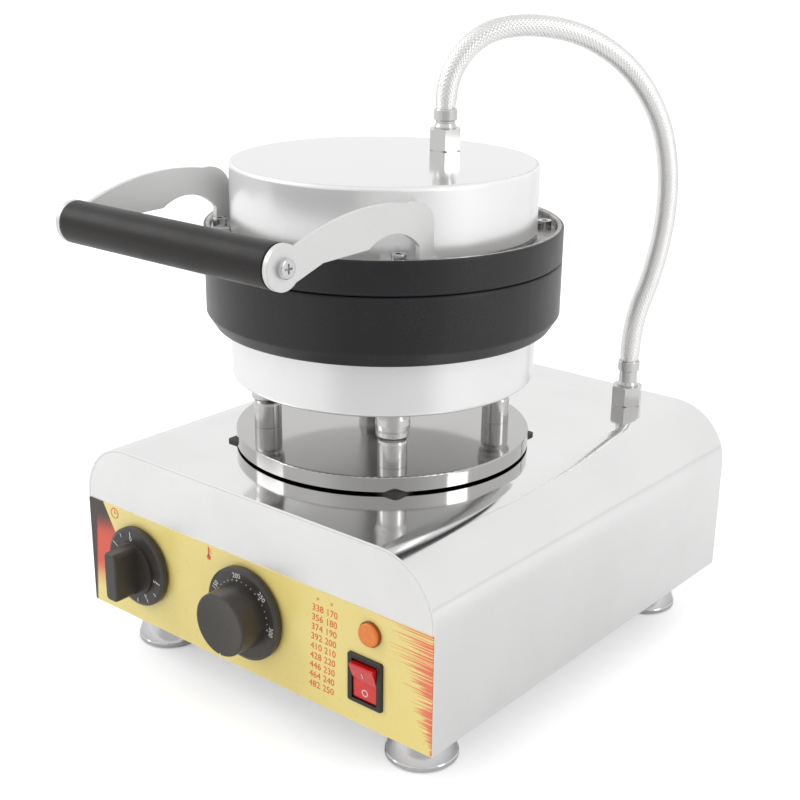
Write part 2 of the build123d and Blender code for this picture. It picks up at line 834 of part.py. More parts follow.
# Hinge: an eared bracket on the lower ring, a knuckle on the upper one, a pin.
ear_inner = knuckle_half + hinge_side_gap
bracket_half = ear_inner + ear_width
plate_back = pin_y - knuckle_radius - 0.6
ring_face = Cylinder(ring_radius + 0.1, 400)
hinge_screw_top = lid_bottom + 8
hinge_screw_low = seam - 19
upper_screw_x = ear_inner + ear_width / 2
lower_screw_x = ear_inner - 6


def countersunk_cutter(x, z):
    """Cutter for a countersunk hole through a hinge plate, from its back face."""
    with BuildPart() as cutter:
        with BuildSketch(facing_front(plate_back, x, z)):
            Circle(m4 + hole_fit)
        extrude(amount=3 * bracket_plate)
        with BuildSketch(facing_front(plate_back, x, z)):
            Circle(2 * m4 + 0.1)
        extrude(amount=2.1, taper=43)
    return cutter.part


with BuildPart() as hinge_bracket_lower:
    with BuildSketch(facing_right(-bracket_half)):
        with Locations((axis_y + ring_radius - 4, seam - 1 - bracket_drop / 2)):
            Rectangle(plate_back - axis_y - ring_radius + 4, bracket_drop, align=(Align.MIN, Align.CENTER))
    extrude(amount=2 * bracket_half)
    for ear_start in (-bracket_half, ear_inner):
        with BuildSketch(facing_right(ear_start)) as ear_outline:
            with BuildLine():
                Polyline(
                    (plate_back - 1, seam - 1),
                    (plate_back - 1, seam - 1 - bracket_drop * 0.7),
                    (pin_y + knuckle_radius * 0.72, pin_z - knuckle_radius * 0.72),
                    (pin_y, pin_z),
                    (plate_back + 0.5, pin_z - 2),
                    close=True,
                )
            make_face()
            with Locations((pin_y, pin_z)):
                Circle(knuckle_radius)
        extrude(amount=ear_width)
    with Locations((0, axis_y, seam)):
        add(ring_face, mode=Mode.SUBTRACT)
    with BuildSketch(facing_right(-bracket_half - 1, pin_y, pin_z)):
        Circle(pin_radius + pin_fit)
    extrude(amount=2 * bracket_half + 2, mode=Mode.SUBTRACT)
    for side in (-1, 1):
        add(countersunk_cutter(side * lower_screw_x, hinge_screw_low), mode=Mode.SUBTRACT)
pieces["hinge_bracket_lower"] = hinge_bracket_lower

with BuildPart() as hinge_bracket_upper:
    upper_low = lid_bottom + 2
    upper_high = rim_top - 1
    with BuildSketch(facing_right(-bracket_half)):
        with Locations((axis_y + ring_radius - 4, (upper_low + upper_high) / 2)):
            Rectangle(
                plate_back - axis_y - ring_radius + 4,
                upper_high - upper_low,
                align=(Align.MIN, Align.CENTER),
            )
    extrude(amount=2 * bracket_half)
    with BuildSketch(facing_right(-knuckle_half)):
        with BuildLine():
            Polyline(
                (plate_back - 1, upper_low),
                (pin_y, pin_z - 3),
                (pin_y + knuckle_radius * 0.5, pin_z + knuckle_radius * 0.866),
                (plate_back - 1, upper_high),
                close=True,
            )
        make_face()
        with Locations((pin_y, pin_z)):
            Circle(knuckle_radius)
    extrude(amount=2 * knuckle_half)
    with Locations((0, axis_y, seam)):
        add(ring_face, mode=Mode.SUBTRACT)
    with BuildSketch(facing_right(-bracket_half - 1, pin_y, pin_z)):
        Circle(pin_radius + pin_fit)
    extrude(amount=2 * bracket_half + 2, mode=Mode.SUBTRACT)
    for side in (-1, 1):
        add(countersunk_cutter(side * upper_screw_x, hinge_screw_top), mode=Mode.SUBTRACT)
pieces["hinge_bracket_upper"] = hinge_bracket_upper

pin_head = 2.5
with BuildPart() as hinge_pin:
    with BuildSketch(facing_right(-bracket_half - pin_head, pin_y, pin_z)):
        Circle(pin_radius)
    extrude(amount=2 * (bracket_half + pin_head))
    for end in (-1, 1):
        with BuildSketch(facing_right(end * (bracket_half + 0.1), pin_y, pin_z)):
            Circle(pin_radius + 2.2)
        extrude(amount=end * (pin_head - 0.6))
pieces["hinge_pin"] = hinge_pin

hinge_screw_length = 16.0


def countersunk_screw(x, z):
    """Flush screw from the hinge plate's back face into the ring."""
    with BuildPart() as screw:
        with BuildSketch(facing_front(plate_back, x, z)):
            Circle(2 * m4)
        extrude(amount=2.0, taper=43)
        with BuildSketch(facing_front(plate_back - 0.5, x, z)):
            Circle(m4)
        extrude(amount=hinge_screw_length - 0.5)
    return screw.part


with BuildPart() as hinge_screws_lower:
    for side in (-1, 1):
        add(countersunk_screw(side * lower_screw_x, hinge_screw_low))
pieces["hinge_screws_lower"] = hinge_screws_lower

with BuildPart() as hinge_screws_upper:
    for side in (-1, 1):
        add(countersunk_screw(side * upper_screw_x, hinge_screw_top))
pieces["hinge_screws_upper"] = hinge_screws_upper

# The rings are drilled for the hinge screws.
for name, x, z in (
    ("lower_mould", lower_screw_x, hinge_screw_low),
    ("upper_mould", upper_screw_x, hinge_screw_top),
):
    with BuildPart() as drilled:
        add(pieces[name].part)
        for side in (-1, 1):
            with BuildSketch(facing_front(plate_back, side * x, z)):
                Circle(m4 + thread_fit)
            extrude(amount=hinge_screw_length + 1, mode=Mode.SUBTRACT)
    pieces[name] = drilled


# Hose fittings: a stub through the sheet, a hexagon nut and a crimped ferrule.
def hose_stub(x, y, face, wall):
    """Hollow stub that passes the sheet, with a hexagon collar under it."""
    with BuildPart() as stub:
        with BuildSketch(level(face - wall - stub_depth, x, y)):
            Circle(stub_radius)
        extrude(amount=wall + stub_depth + nut_height - 3)
        with BuildSketch(level(face - wall, x, y)):
            RegularPolygon(nut_flats / 2 - 1, 6, major_radius=False)
        extrude(amount=-4)
        with BuildSketch(level(face - wall - stub_depth, x, y)):
            Circle(stub_bore)
        extrude(amount=wall + stub_depth + nut_height, mode=Mode.SUBTRACT)
    return stub


def hose_nut(x, y, face, turn):
    """Hexagon nut with chamfered corners, standing on the sheet."""
    with BuildPart() as nut:
        with BuildSketch(level(face, x, y)):
            RegularPolygon(nut_flats / 2, 6, major_radius=False, rotation=turn)
        extrude(amount=nut_height)
        crown = turned(
            [
                (0, face),
                (nut_flats / 2 + 0.4, face),
                (nut_flats / 2 + 1.6, face + 0.9),
                (nut_flats / 2 + 1.6, face + nut_height - 0.9),
                (nut_flats / 2 + 0.4, face + nut_height),
                (0, face + nut_height),
            ],
            x,
            y,
        )
        add(crown, mode=Mode.INTERSECT)
        with BuildSketch(level(face, x, y)):
            Circle(stub_radius + thread_fit)
        extrude(amount=nut_height - 3, mode=Mode.SUBTRACT)
        with BuildSketch(level(face, x, y)):
            Circle(stub_bore)
        extrude(amount=nut_height, mode=Mode.SUBTRACT)
    return nut


def hose_ferrule(x, y, face, height):
    """Crimped sleeve between the nut and the hose."""
    foot = face + nut_height
    top = foot + height
    with BuildPart() as ferrule:
        add(
            turned(
                [
                    (stub_bore, foot),
                    (hose_radius + 0.3, foot),
                    (hose_radius + 0.3, foot + 1.0),
                    (hose_radius - 0.6, foot + 3.0),
                    (hose_radius - 0.6, top - 7.4),
                    (hose_radius + 0.6, top - 6.6),
                    (hose_radius + 0.6, top - 0.7),
                    (hose_radius + 0.1, top),
                    (stub_bore, top),
                ],
                x,
                y,
            )
        )
    return ferrule


fittings = {
    "base": (base_fitting_x, base_fitting_y, base_top, sheet, base_ferrule_height, -7),
    "lid": (lid_fitting_x, lid_fitting_y, lid_top, cover_wall, lid_ferrule_height, 8),
}
for name, (x, y, face, wall, sleeve, turn) in fittings.items():
    pieces[name + "_hose_stub"] = hose_stub(x, y, face, wall)
    pieces[name + "_hose_nut"] = hose_nut(x, y, face, turn)
    pieces[name + "_ferrule"] = hose_ferrule(x, y, face, sleeve)

# The hose leaves the lid upwards, arches over to the right and the back, and
# comes down into the base.
hose_start_z = lid_top + nut_height + lid_ferrule_height
hose_end_z = base_top + nut_height + base_ferrule_height
hose_start = (lid_fitting_x, lid_fitting_y, hose_start_z)
hose_end = (base_fitting_x, base_fitting_y, hose_end_z)
hose_route = [
    hose_start,
    (lid_fitting_x, lid_fitting_y, hose_start_z + 10),
    (6.1, 41.7, 374.9),
    (12.0, 50.1, 389.7),
    (21.9, 64.3, 399.7),
    (38.0, 87.1, 401.7),
    (57.1, 114.4, 395.0),
    (75.8, 141.1, 374.5),
    (88.5, 159.2, 343.0),
    (93.9, 166.9, 308.0),
    (93.9, 166.9, 271.0),
    (89.9, 161.2, 236.0),
    (85.0, 154.3, 213.0),
    (base_fitting_x, base_fitting_y, hose_end_z + 15),
    hose_end,
]


def bend_radii(route):
    """Largest arc for each inner point: 0.45 of the shorter run over tan(half turn)."""
    points = [Vector(*point) for point in route]
    radii = []
    for before, here, after in zip(points, points[1:], points[2:]):
        run_in = here - before
        run_out = after - here
        half_turn = radians(run_in.get_angle(run_out)) / 2
        radii.append(0.45 * min(run_in.length, run_out.length) / tan(half_turn))
    return radii


hose_radii = bend_radii(hose_route)
with BuildPart() as hose:
    with BuildLine() as hose_line:
        FilletPolyline(*hose_route, radius=hose_radii)
    with BuildSketch(Plane(origin=hose_start, z_dir=(hose_line.line % 0))):
        Circle(hose_radius)
    sweep(path=hose_line.line)
pieces["hose"] = hose
hose_length = hose_line.wires()[0].length
hose_section = 3.14159265 * hose_radius**2
print("hose length", round(hose_length, 1), "radii", [round(r) for r in hose_radii])
print("hose volume over section times length", round(hose.part.volume / hose_section / hose_length, 4))


# Controls
def control_body(x, z, width, height, depth):
    """Housed control behind the panel, with a threaded bushing through it."""
    with BuildPart() as body:
        with BuildSketch(facing_front(panel_back, x, z)):
            RectangleRounded(width, height, 2)
        extrude(amount=-depth)
        with BuildSketch(facing_front(panel_back, x, z)):
            Circle(bushing_radius)
        extrude(amount=sheet + decal_thickness + 0.5)
        with BuildSketch(facing_front(decal_front - 0.5, x, z)):
            Circle(shaft_radius + pin_fit)
        extrude(amount=-(depth + 5), mode=Mode.SUBTRACT)
    return body


def control_shaft(x, z, depth, reach):
    """Shaft with a flat, from inside the control to inside the knob."""
    back = panel_back + depth - 4
    front = decal_front - reach
    with BuildPart() as shaft:
        with BuildSketch(facing_front(back, x, z)):
            Circle(shaft_radius)
        extrude(amount=back - front)
    return shaft


timer_depth = 30.0
thermostat_depth = 34.0
timer_reach = skirt_gap + skirt_thickness + 8
thermostat_reach = skirt_gap + skirt_thickness + 10
skirt_back = decal_front - skirt_gap
skirt_front = skirt_back - skirt_thickness
pieces["timer_body"] = control_body(timer_x, control_z, 46, 58, timer_depth)
pieces["thermostat_body"] = control_body(thermostat_x, control_z, 38, 54, thermostat_depth)
pieces["timer_shaft"] = control_shaft(timer_x, control_z, timer_depth, timer_reach)
pieces["thermostat_shaft"] = control_shaft(
    thermostat_x, control_z, thermostat_depth, thermostat_reach
)


def knob_skirt(x, z, radius):
    """Dial skirt with a bevelled front edge."""
    with BuildPart() as skirt:
        with BuildSketch(facing_front(skirt_back, x, z)):
            Circle(radius)
        extrude(amount=skirt_thickness - 1.2)
        with BuildSketch(facing_front(skirt_back - skirt_thickness + 1.2, x, z)):
            Circle(radius)
        extrude(amount=1.2, taper=60)
    return skirt.part


with BuildPart() as timer_knob:
    add(knob_skirt(timer_x, control_z, timer_skirt_radius))
    with BuildSketch(facing_front(skirt_front, timer_x, control_z)):
        Circle(timer_boss_radius)
    extrude(amount=2.5)
    with BuildSketch(facing_front(skirt_front, timer_x, control_z)):
        RectangleRounded(timer_grip_width, timer_grip_length, 3.2)
    extrude(amount=timer_grip_height)
    grip_face = timer_knob.faces().sort_by(Axis.Y)[0]
    fillet(grip_face.edges(), 1.5)
    with BuildSketch(facing_front(skirt_back, timer_x, control_z)):
        Circle(shaft_radius + thread_fit)
    extrude(amount=timer_reach - skirt_gap, mode=Mode.SUBTRACT)
pieces["timer_knob"] = timer_knob

dish_radius = thermostat_grip_radius - 2.2
dish_depth = 1.2
dish_ball = (dish_radius**2 + dish_depth**2) / (2 * dish_depth)
with BuildPart() as thermostat_knob:
    add(knob_skirt(thermostat_x, control_z, thermostat_skirt_radius))
    with BuildSketch(facing_front(skirt_front, thermostat_x, control_z)):
        Circle(thermostat_grip_radius)
    extrude(amount=thermostat_grip_height, taper=2)
    grip_face = thermostat_knob.faces().sort_by(Axis.Y)[0]
    fillet(grip_face.edges(), 1.2)
    dish_y = skirt_front - thermostat_grip_height + dish_depth - dish_ball
    with Locations((thermostat_x, dish_y, control_z)):
        Sphere(dish_ball, mode=Mode.SUBTRACT)
    with BuildSketch(facing_front(skirt_back, thermostat_x, control_z)):
        Circle(shaft_radius + thread_fit)
    extrude(amount=thermostat_reach - skirt_gap, mode=Mode.SUBTRACT)
pieces["thermostat_knob"] = thermostat_knob

# The thermostat's bulb stands in a pocket of the lower mould.
bulb_y = axis_y + lower_heater_radius - 14
with BuildPart() as sensor_bulb:
    with BuildSketch(level(lower_clamp_top - clamp_plate - 8, 0, bulb_y)):
        Circle(m5 - thread_fit)
    extrude(amount=mould_foot + 3.5 - lower_clamp_top + clamp_plate + 8)
pieces["sensor_bulb"] = sensor_bulb
for name in ("lower_clamp_plate", "lower_wool"):
    with BuildPart() as pierced:
        add(pieces[name].part)
        with Locations((0, bulb_y, lower_clamp_top)):
            Cylinder(m5 + hole_fit, 80, mode=Mode.SUBTRACT)
    pieces[name] = pierced

# Pilot lamp
lamp_flange = 1.5
with BuildPart() as lamp_body:
    with BuildSketch(facing_front(decal_front, lamp_x, lamp_z)):
        Circle(lamp_radius)
    extrude(amount=lamp_flange)
    with BuildSketch(facing_front(decal_front, lamp_x, lamp_z)):
        Circle(lamp_hole_radius)
    extrude(amount=-26)
    with BuildSketch(facing_front(decal_front - lamp_flange, lamp_x, lamp_z)):
        Circle(lamp_hole_radius - 0.5)
    extrude(amount=-8, mode=Mode.SUBTRACT)
pieces["lamp_body"] = lamp_body

with BuildPart() as lamp_lens:
    with BuildSketch(facing_front(decal_front - lamp_flange + 6, lamp_x, lamp_z)):
        Circle(lamp_hole_radius - 0.6)
    extrude(amount=6 + 1.5)
    with BuildSketch(facing_front(decal_front - lamp_flange, lamp_x, lamp_z)):
        Circle(lamp_radius - 0.7)
    extrude(amount=2.2)
    fillet(lamp_lens.faces().sort_by(Axis.Y)[0].edges(), 1.2)
pieces["lamp_lens"] = lamp_lens

# Rocker switch: the rocker turns about a stub axle across the housing.
rocker_pivot_y = decal_front + 1.5
cavity_width = rocker_width + 2 * 0.4
cavity_height = rocker_height + 2 * rocker_room
rocker_cavity = 13.0
axle_radius = 1.5
with BuildPart() as switch_housing:
    with BuildSketch(facing_front(decal_front, switch_x, switch_z)):
        RectangleRounded(switch_bezel_width, switch_bezel_height, 1.5)
    extrude(amount=switch_bezel_thickness)
    fillet(switch_housing.faces().sort_by(Axis.Y)[0].edges(), 0.8)
    with BuildSketch(facing_front(decal_front, switch_x, switch_z)):
        Rectangle(switch_cut_width - 0.4, switch_cut_height - 0.4)
    extrude(amount=-24)
    bezel_front = decal_front - switch_bezel_thickness
    with BuildSketch(facing_front(bezel_front, switch_x, switch_z)):
        Rectangle(cavity_width, cavity_height)
    extrude(amount=-rocker_cavity, mode=Mode.SUBTRACT)
    with BuildSketch(facing_right(switch_x - cavity_width / 2 - 1, rocker_pivot_y, switch_z)):
        Circle(axle_radius + pin_fit)
    extrude(amount=cavity_width + 2, mode=Mode.SUBTRACT)
pieces["switch_housing"] = switch_housing

rocker_plane = Plane(
    origin=(switch_x - rocker_width / 2, rocker_pivot_y, switch_z),
    x_dir=(0, cos(radians(rocker_tilt)), sin(radians(rocker_tilt))),
    z_dir=(1, 0, 0),
)
with BuildPart() as switch_rocker:
    with BuildSketch(rocker_plane):
        half = rocker_height / 2
        with BuildLine():
            Polyline(
                (-4.6, half - 0.3),
                (-2.6, 0),
                (-4.6, -half + 0.3),
                (-3.6, -half),
                (2.0, -half + 1.4),
                (6.0, -half * 0.45),
                (6.0, half * 0.45),
                (2.0, half - 1.4),
                (-3.6, half),
                close=True,
            )
        make_face()
    extrude(amount=rocker_width)
    with BuildSketch(facing_right(switch_x - cavity_width / 2 - 0.8, rocker_pivot_y, switch_z)):
        Circle(axle_radius)
    extrude(amount=cavity_width + 1.6)
pieces["switch_rocker"] = switch_rocker

# Wiring hardware
block_x = 40.0
block_y = base_middle + 70.0
with BuildPart() as terminal_block:
    with BuildSketch(level(base_bottom, block_x, block_y)):
        Rectangle(58, 20)
    extrude(amount=16)
    with BuildSketch(level(base_bottom + 16, block_x, block_y)):
        with GridLocations(11, 0, 5, 1):
            Circle(3.2)
    extrude(amount=-9, mode=Mode.SUBTRACT)
pieces["terminal_block"] = terminal_block

with BuildPart() as cable_gland:
    with BuildSketch(facing_front(base_back + gland_reach, gland_x, gland_z)):
        Circle(gland_thread_radius - 1)
    extrude(amount=6)
    with BuildSketch(facing_front(base_back + 9.5, gland_x, gland_z)):
        RegularPolygon(gland_thread_radius + 2.5, 6)
    extrude(amount=9.5)
    with BuildSketch(facing_front(base_back, gland_x, gland_z)):
        Circle(gland_thread_radius)
    extrude(amount=sheet + 9)
    with BuildSketch(facing_front(base_back - sheet, gland_x, gland_z)):
        RegularPolygon(gland_thread_radius + 2.5, 6)
    extrude(amount=4)
    with BuildSketch(facing_front(base_back + gland_reach, gland_x, gland_z)):
        Circle(gland_bore)
    extrude(amount=60, mode=Mode.SUBTRACT)
pieces["cable_gland"] = cable_gland

for name, piece in pieces.items():
    piece.part.label = name
    export_step(piece.part, f"parts/{name}.step")
print(len(pieces), "pieces")
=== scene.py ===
"""Waffle bowl maker: finishes, braided hose, dial marks and panel print on the CAD frame."""

import math

import bmesh
import bpy
from mathutils import Matrix, Vector


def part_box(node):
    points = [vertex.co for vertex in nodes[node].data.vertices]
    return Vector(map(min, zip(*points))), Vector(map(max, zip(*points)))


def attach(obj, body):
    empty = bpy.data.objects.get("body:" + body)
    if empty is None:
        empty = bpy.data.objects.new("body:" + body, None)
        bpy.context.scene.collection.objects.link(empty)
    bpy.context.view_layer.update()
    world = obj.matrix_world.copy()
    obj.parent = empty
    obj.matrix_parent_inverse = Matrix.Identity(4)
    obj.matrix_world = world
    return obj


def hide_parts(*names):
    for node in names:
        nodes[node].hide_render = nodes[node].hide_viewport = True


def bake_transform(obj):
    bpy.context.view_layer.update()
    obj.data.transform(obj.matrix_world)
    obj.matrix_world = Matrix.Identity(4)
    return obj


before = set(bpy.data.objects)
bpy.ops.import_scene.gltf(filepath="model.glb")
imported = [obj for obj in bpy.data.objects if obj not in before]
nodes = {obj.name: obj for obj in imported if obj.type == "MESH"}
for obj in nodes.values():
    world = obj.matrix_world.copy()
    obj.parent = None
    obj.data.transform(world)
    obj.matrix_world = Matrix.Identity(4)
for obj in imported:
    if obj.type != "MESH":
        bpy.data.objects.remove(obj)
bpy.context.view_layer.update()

# Places taken from the CAD nodes
disc_low, disc_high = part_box("support_disc")
head_x = (disc_low.x + disc_high.x) / 2
head_y = (disc_low.y + disc_high.y) / 2
rim_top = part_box("upper_mould")[1].z
film_low, film_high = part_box("fascia_decal")


class Value:
    """A node socket that takes part in Python arithmetic."""

    def __init__(self, graph, socket):
        self.graph = graph
        self.socket = socket

    def math(self, operation, *others):
        return self.graph.math(operation, self, *others)

    def __add__(self, other):
        return self.math("ADD", other)

    __radd__ = __add__

    def __sub__(self, other):
        return self.math("SUBTRACT", other)

    def __rsub__(self, other):
        return self.graph.math("SUBTRACT", other, self)

    def __mul__(self, other):
        return self.math("MULTIPLY", other)

    __rmul__ = __mul__

    def __truediv__(self, other):
        return self.math("DIVIDE", other)

    def __rtruediv__(self, other):
        return self.graph.math("DIVIDE", other, self)

    def __gt__(self, limit):
        return self.math("GREATER_THAN", limit)

    def __lt__(self, limit):
        return self.math("LESS_THAN", limit)

    def __abs__(self):
        return self.math("ABSOLUTE")

    def step(self, low, high):
        """0 under low, 1 over high and smooth between."""
        settings = {"interpolation_type": "SMOOTHSTEP"}
        inputs = {"Value": self, "From Min": low, "From Max": high}
        return self.graph.node("ShaderNodeMapRange", settings, inputs)

    def split(self):
        """The three parts of a vector."""
        return [self.graph.node("ShaderNodeSeparateXYZ", {}, {0: self}, part) for part in range(3)]


class Graph:
    """A node tree, of shader or geometry nodes."""

    def __init__(self, tree):
        self.tree = tree

    def feed(self, socket, value):
        """Links a value to a socket, or sets a plain one on it."""
        if isinstance(value, Value):
            self.tree.links.new(value.socket, socket)
        else:
            socket.default_value = value

    def node(self, kind, settings=None, inputs=None, output=0):
        """Adds a node and gives one of its outputs, if it has any."""
        made = self.tree.nodes.new(kind)
        for key, value in (settings or {}).items():
            setattr(made, key, value)
        for key, value in (inputs or {}).items():
            self.feed(made.inputs[key], value)
        return Value(self, made.outputs[output]) if len(made.outputs) else None

    def math(self, operation, *parts):
        return self.node("ShaderNodeMath", {"operation": operation}, dict(enumerate(parts)))


class Finish(Graph):
    """A Principled material and the values that drive it."""

    def __init__(self, name, color, metallic=0.0, roughness=0.5, **sockets):
        self.material = bpy.data.materials.new(name)
        self.material.use_nodes = True
        super().__init__(self.material.node_tree)
        self.shader = self.tree.nodes["Principled BSDF"]
        self.put("Base Color", (*color, 1.0))
        self.put("Metallic", metallic)
        self.put("Roughness", roughness)
        for key, value in sockets.items():
            self.put(key.replace("_", " "), value)

    def put(self, key, value):
        self.feed(self.shader.inputs[key], value)

    def position(self, kind="Object"):
        return self.node("ShaderNodeTexCoord", output=kind)

    def noise(self, scale, detail=2.0, stretch=(1, 1, 1), roughness=0.5):
        inputs = {"Vector": self.position(), "Scale": stretch}
        place = self.node("ShaderNodeMapping", {}, inputs)
        inputs = {"Vector": place, "Scale": scale, "Detail": detail, "Roughness": roughness}
        return self.node("ShaderNodeTexNoise", {}, inputs)

    def blend(self, share, first, second):
        """Colour between two colours or colour sockets."""
        ends = [color if isinstance(color, Value) else (*color, 1.0) for color in (first, second)]
        inputs = {"Factor": share, 6: ends[0], 7: ends[1]}
        return self.node("ShaderNodeMix", {"data_type": "RGBA"}, inputs, 2)

    def bump(self, height, depth, strength=1.0, rounding=0.0):
        """Relief of a real depth, on edges rounded by a real radius."""
        inputs = {"Height": height, "Strength": strength, "Distance": depth}
        if rounding:
            inputs["Normal"] = self.node("ShaderNodeBevel", {"samples": 4}, {"Radius": rounding})
        self.put("Normal", self.node("ShaderNodeBump", {}, inputs))


def toned(tint, share):
    """A colour at a share of its lightness."""
    return tuple(share * part for part in tint)


def steel(name, tint, rough, stretch, grain, depth=0.0, rounding=0.0005, metal=1.0, polished_shaded_faces=None):
    """Stainless steel: a grain along one axis and soft smudges, in its gloss and its tone.

    stretch is how fine the grain is along each axis, and grain its share in the gloss. With a
    depth the grain has relief and the edges are rounded. A metal share under 1 spreads the
    light, as a brushed sheet does. The last argument is (axis, roughness, shade) of the faces
    across that axis, which have a finer polish and a colour darkened to the shade share of the
    tint: a painted shade.
    """
    made = Finish(name, tint, metallic=metal)
    lines = made.noise(1.0, 3.0, stretch, 0.6)
    smudge = made.noise(14.0, 4.0, roughness=0.6)
    gloss = (smudge.step(0.35, 0.75) + lines) * grain + (rough - grain / 2)
    tone = smudge.step(0.3, 0.8) * 0.7 + lines * (8 * grain)
    color = made.blend(tone, tint, toned(tint, 0.93))
    if polished_shaded_faces:
        axis, fine, shade = polished_shaded_faces
        polished_and_shaded = abs(made.position("Normal").split()[axis]).step(0.8, 0.97)
        gloss = gloss + polished_and_shaded * (fine - rough)
        # Polished faces take a colour darkened to the shade share of the tint: painted shade.
        color = made.blend(polished_and_shaded, color, toned(tint, shade))
        made.put("Metallic", polished_and_shaded * (1 - metal) + metal)
    made.put("Roughness", gloss)
    made.put("Base Color", color)
    if depth:
        made.bump(lines, depth, 0.4, rounding)
    return made


# Most sheets are flat; the arms and the turned and bought-in parts have a fine relief.
relief = 0.000004
shell_steel = steel("shell_steel", (0.82, 0.82, 0.815), 0.09, (20, 700, 700), 0.03)
front_steel = steel("front_steel", (0.84, 0.84, 0.835), 0.30, (30, 60, 1500), 0.05, metal=0.6)
panel_steel = steel("panel_steel", (0.80, 0.80, 0.80), 0.26, (60, 60, 1800), 0.06, metal=0.8)
disc_steel = steel("disc_steel", (0.50, 0.495, 0.485), 0.07, (60, 900, 900), 0.03)
drum_steel = steel("drum_steel", (0.87, 0.87, 0.87), 0.22, (12, 12, 900), 0.01, metal=0.55)
# The cover's top faces are polished, and their colour is darkened to 0.86 of the tint: painted
# shade.
cover_steel = steel(
    "cover_steel", (0.92, 0.92, 0.92), 0.26, (12, 12, 900), 0.005, metal=0.5, polished_shaded_faces=(2, 0.11, 0.86)
)
arm_steel = steel("arm_steel", (0.73, 0.73, 0.725), 0.36, (1500, 30, 1500), 0.06, relief, metal=0.5)
post_steel = steel("post_steel", (0.60, 0.59, 0.585), 0.16, (12, 12, 2600), 0.12, 5 * relief)
zinc_steel = steel("zinc_steel", (0.60, 0.60, 0.60), 0.22, (700, 700, 700), 0.10, relief)
plated_brass = steel(
    "plated_brass", (0.66, 0.655, 0.65), 0.20, (900, 900, 900), 0.05, relief / 4, 0.0003, metal=0.8
)
chrome = steel("chrome", (0.62, 0.62, 0.63), 0.05, (200, 200, 1500), 0.03, relief)
heater_steel = steel("heater_steel", (0.30, 0.30, 0.31), 0.45, (900, 900, 900), 0.2, relief)


def plastic(name, tint, rough, texture=1400.0, depth=0.00003, rounding=0.0004, **sockets):
    """Moulded plastic: a fine spark texture, uneven gloss and rounded edges."""
    made = Finish(name, tint, **sockets)
    fine = made.noise(texture)
    wide = made.noise(45.0, 4.0, roughness=0.6)
    made.put("Roughness", wide.step(0.3, 0.8) * 0.12 + (rough - 0.05))
    lighter = tuple(min(1.0, 1.35 * part + 0.003) for part in tint)
    made.put("Base Color", made.blend(fine.step(0.45, 0.75) * 0.5, tint, lighter))
    made.bump(fine, depth, 0.6, rounding)
    return made


black_plastic = plastic("black_plastic", (0.013, 0.012, 0.012), 0.36)
knob_plastic = plastic("knob_plastic", (0.040, 0.035, 0.031), 0.36, 900.0, 0.00002)
bar_plastic = plastic(
    "bar_plastic", (0.022, 0.020, 0.019), 0.38, 700.0, 0.00002, 0.0008, Specular_IOR_Level=0.22
)
rubber_pad = plastic("rubber_pad", (0.02, 0.02, 0.02), 0.75, 500.0, 0.00008)
gasket_fibre = plastic("gasket_fibre", (0.035, 0.033, 0.03), 0.6, 350.0, 0.00006)
red_plastic = plastic(
    "red_plastic", (0.66, 0.012, 0.012), 0.16, 400.0, 0.000005, Coat_Weight=0.4
)
terminal_plastic = plastic("terminal_plastic", (0.55, 0.52, 0.45), 0.4)
wool_fibre = plastic("wool_fibre", (0.72, 0.70, 0.62), 0.9, 220.0, 0.0004)
lamp_rim = plastic("lamp_rim", (0.26, 0.075, 0.02), 0.22, 400.0, 0.00001)
amber_plastic = plastic(
    "amber_plastic", (0.86, 0.25, 0.045), 0.16, 300.0, 0.000005,
    Transmission_Weight=0.2, Emission_Color=(1.0, 0.25, 0.02, 1.0), Emission_Strength=0.06,
)


def cast_coat(name, bare_and_highlight=None):
    """Black coated casting with pale dust in its grain.

    The last argument, a function of (x, y, z), marks metal cut free of the coat, with x and y
    counted from the head's axis;
    on the lid's rim top that metal also stands as a painted highlight.
    """
    made = Finish(name, (0.02, 0.02, 0.022), Specular_IOR_Level=0.48)
    grain = made.noise(1500.0, 3.0, roughness=0.7)
    dust = made.noise(2600.0).step(0.62, 0.72)
    wide = made.noise(30.0, 5.0, roughness=0.65)
    coat = made.blend(grain.step(0.35, 0.8) * 0.6, (0.004, 0.004, 0.006), (0.014, 0.0135, 0.0145))
    color = made.blend(dust * wide.step(0.35, 0.7) * 0.4, coat, (0.20, 0.19, 0.185))
    gloss = wide.step(0.2, 0.8) * 0.10 + 0.28
    if bare_and_highlight:
        x, y, z = made.position().split()
        metal = bare_and_highlight(x - head_x, y - head_y, z)
        worn = made.noise(160.0, 4.0, roughness=0.7).step(0.3, 0.7)
        # Colour of the cut metal; on the rim's top it is also a painted highlight.
        machined_and_highlight = made.blend(worn, (0.50, 0.485, 0.465), (0.30, 0.29, 0.28))
        color = made.blend(metal, color, machined_and_highlight)
        gloss = gloss - metal * 0.04 + metal * worn * 0.08
        made.put("Metallic", metal * 0.95)
    made.put("Base Color", color)
    made.put("Roughness", gloss)
    made.bump(grain, 0.00004, 0.35, 0.0025)
    return made


# Where the lid's ring is machined: a channel behind its rim, and a skim off the rim's top.
# The skim's band of metal is also a painted highlight along the rim.
channel_radius, channel_depth = 0.1085, 0.0125
rim_skim_and_highlight = 0.0003


def bare_channel(x, y, z):
    """The channel inside the rim, and the rim's top face, which also stands as a painted highlight
    along the rim.
    """
    radius = (x * x + y * y).math("SQRT")
    inside = (radius < channel_radius) * (z > rim_top - channel_depth)
    # The rim's top face: cut metal, and also a painted highlight along the rim.
    return inside.math("MAXIMUM", z > rim_top - rim_skim_and_highlight)


ring_coat = cast_coat("ring_coat")
rim_coat = cast_coat("rim_coat", bare_channel)

# Widths of the panel film's wedge and streaks at its foot and at its top, and how far the
# dark border at the left has moved over from the one to the other
wedge_foot, wedge_top = 0.0571, 0.0143
streak_foot, streak_top = 0.0004, 0.0374
border_lean = 0.006


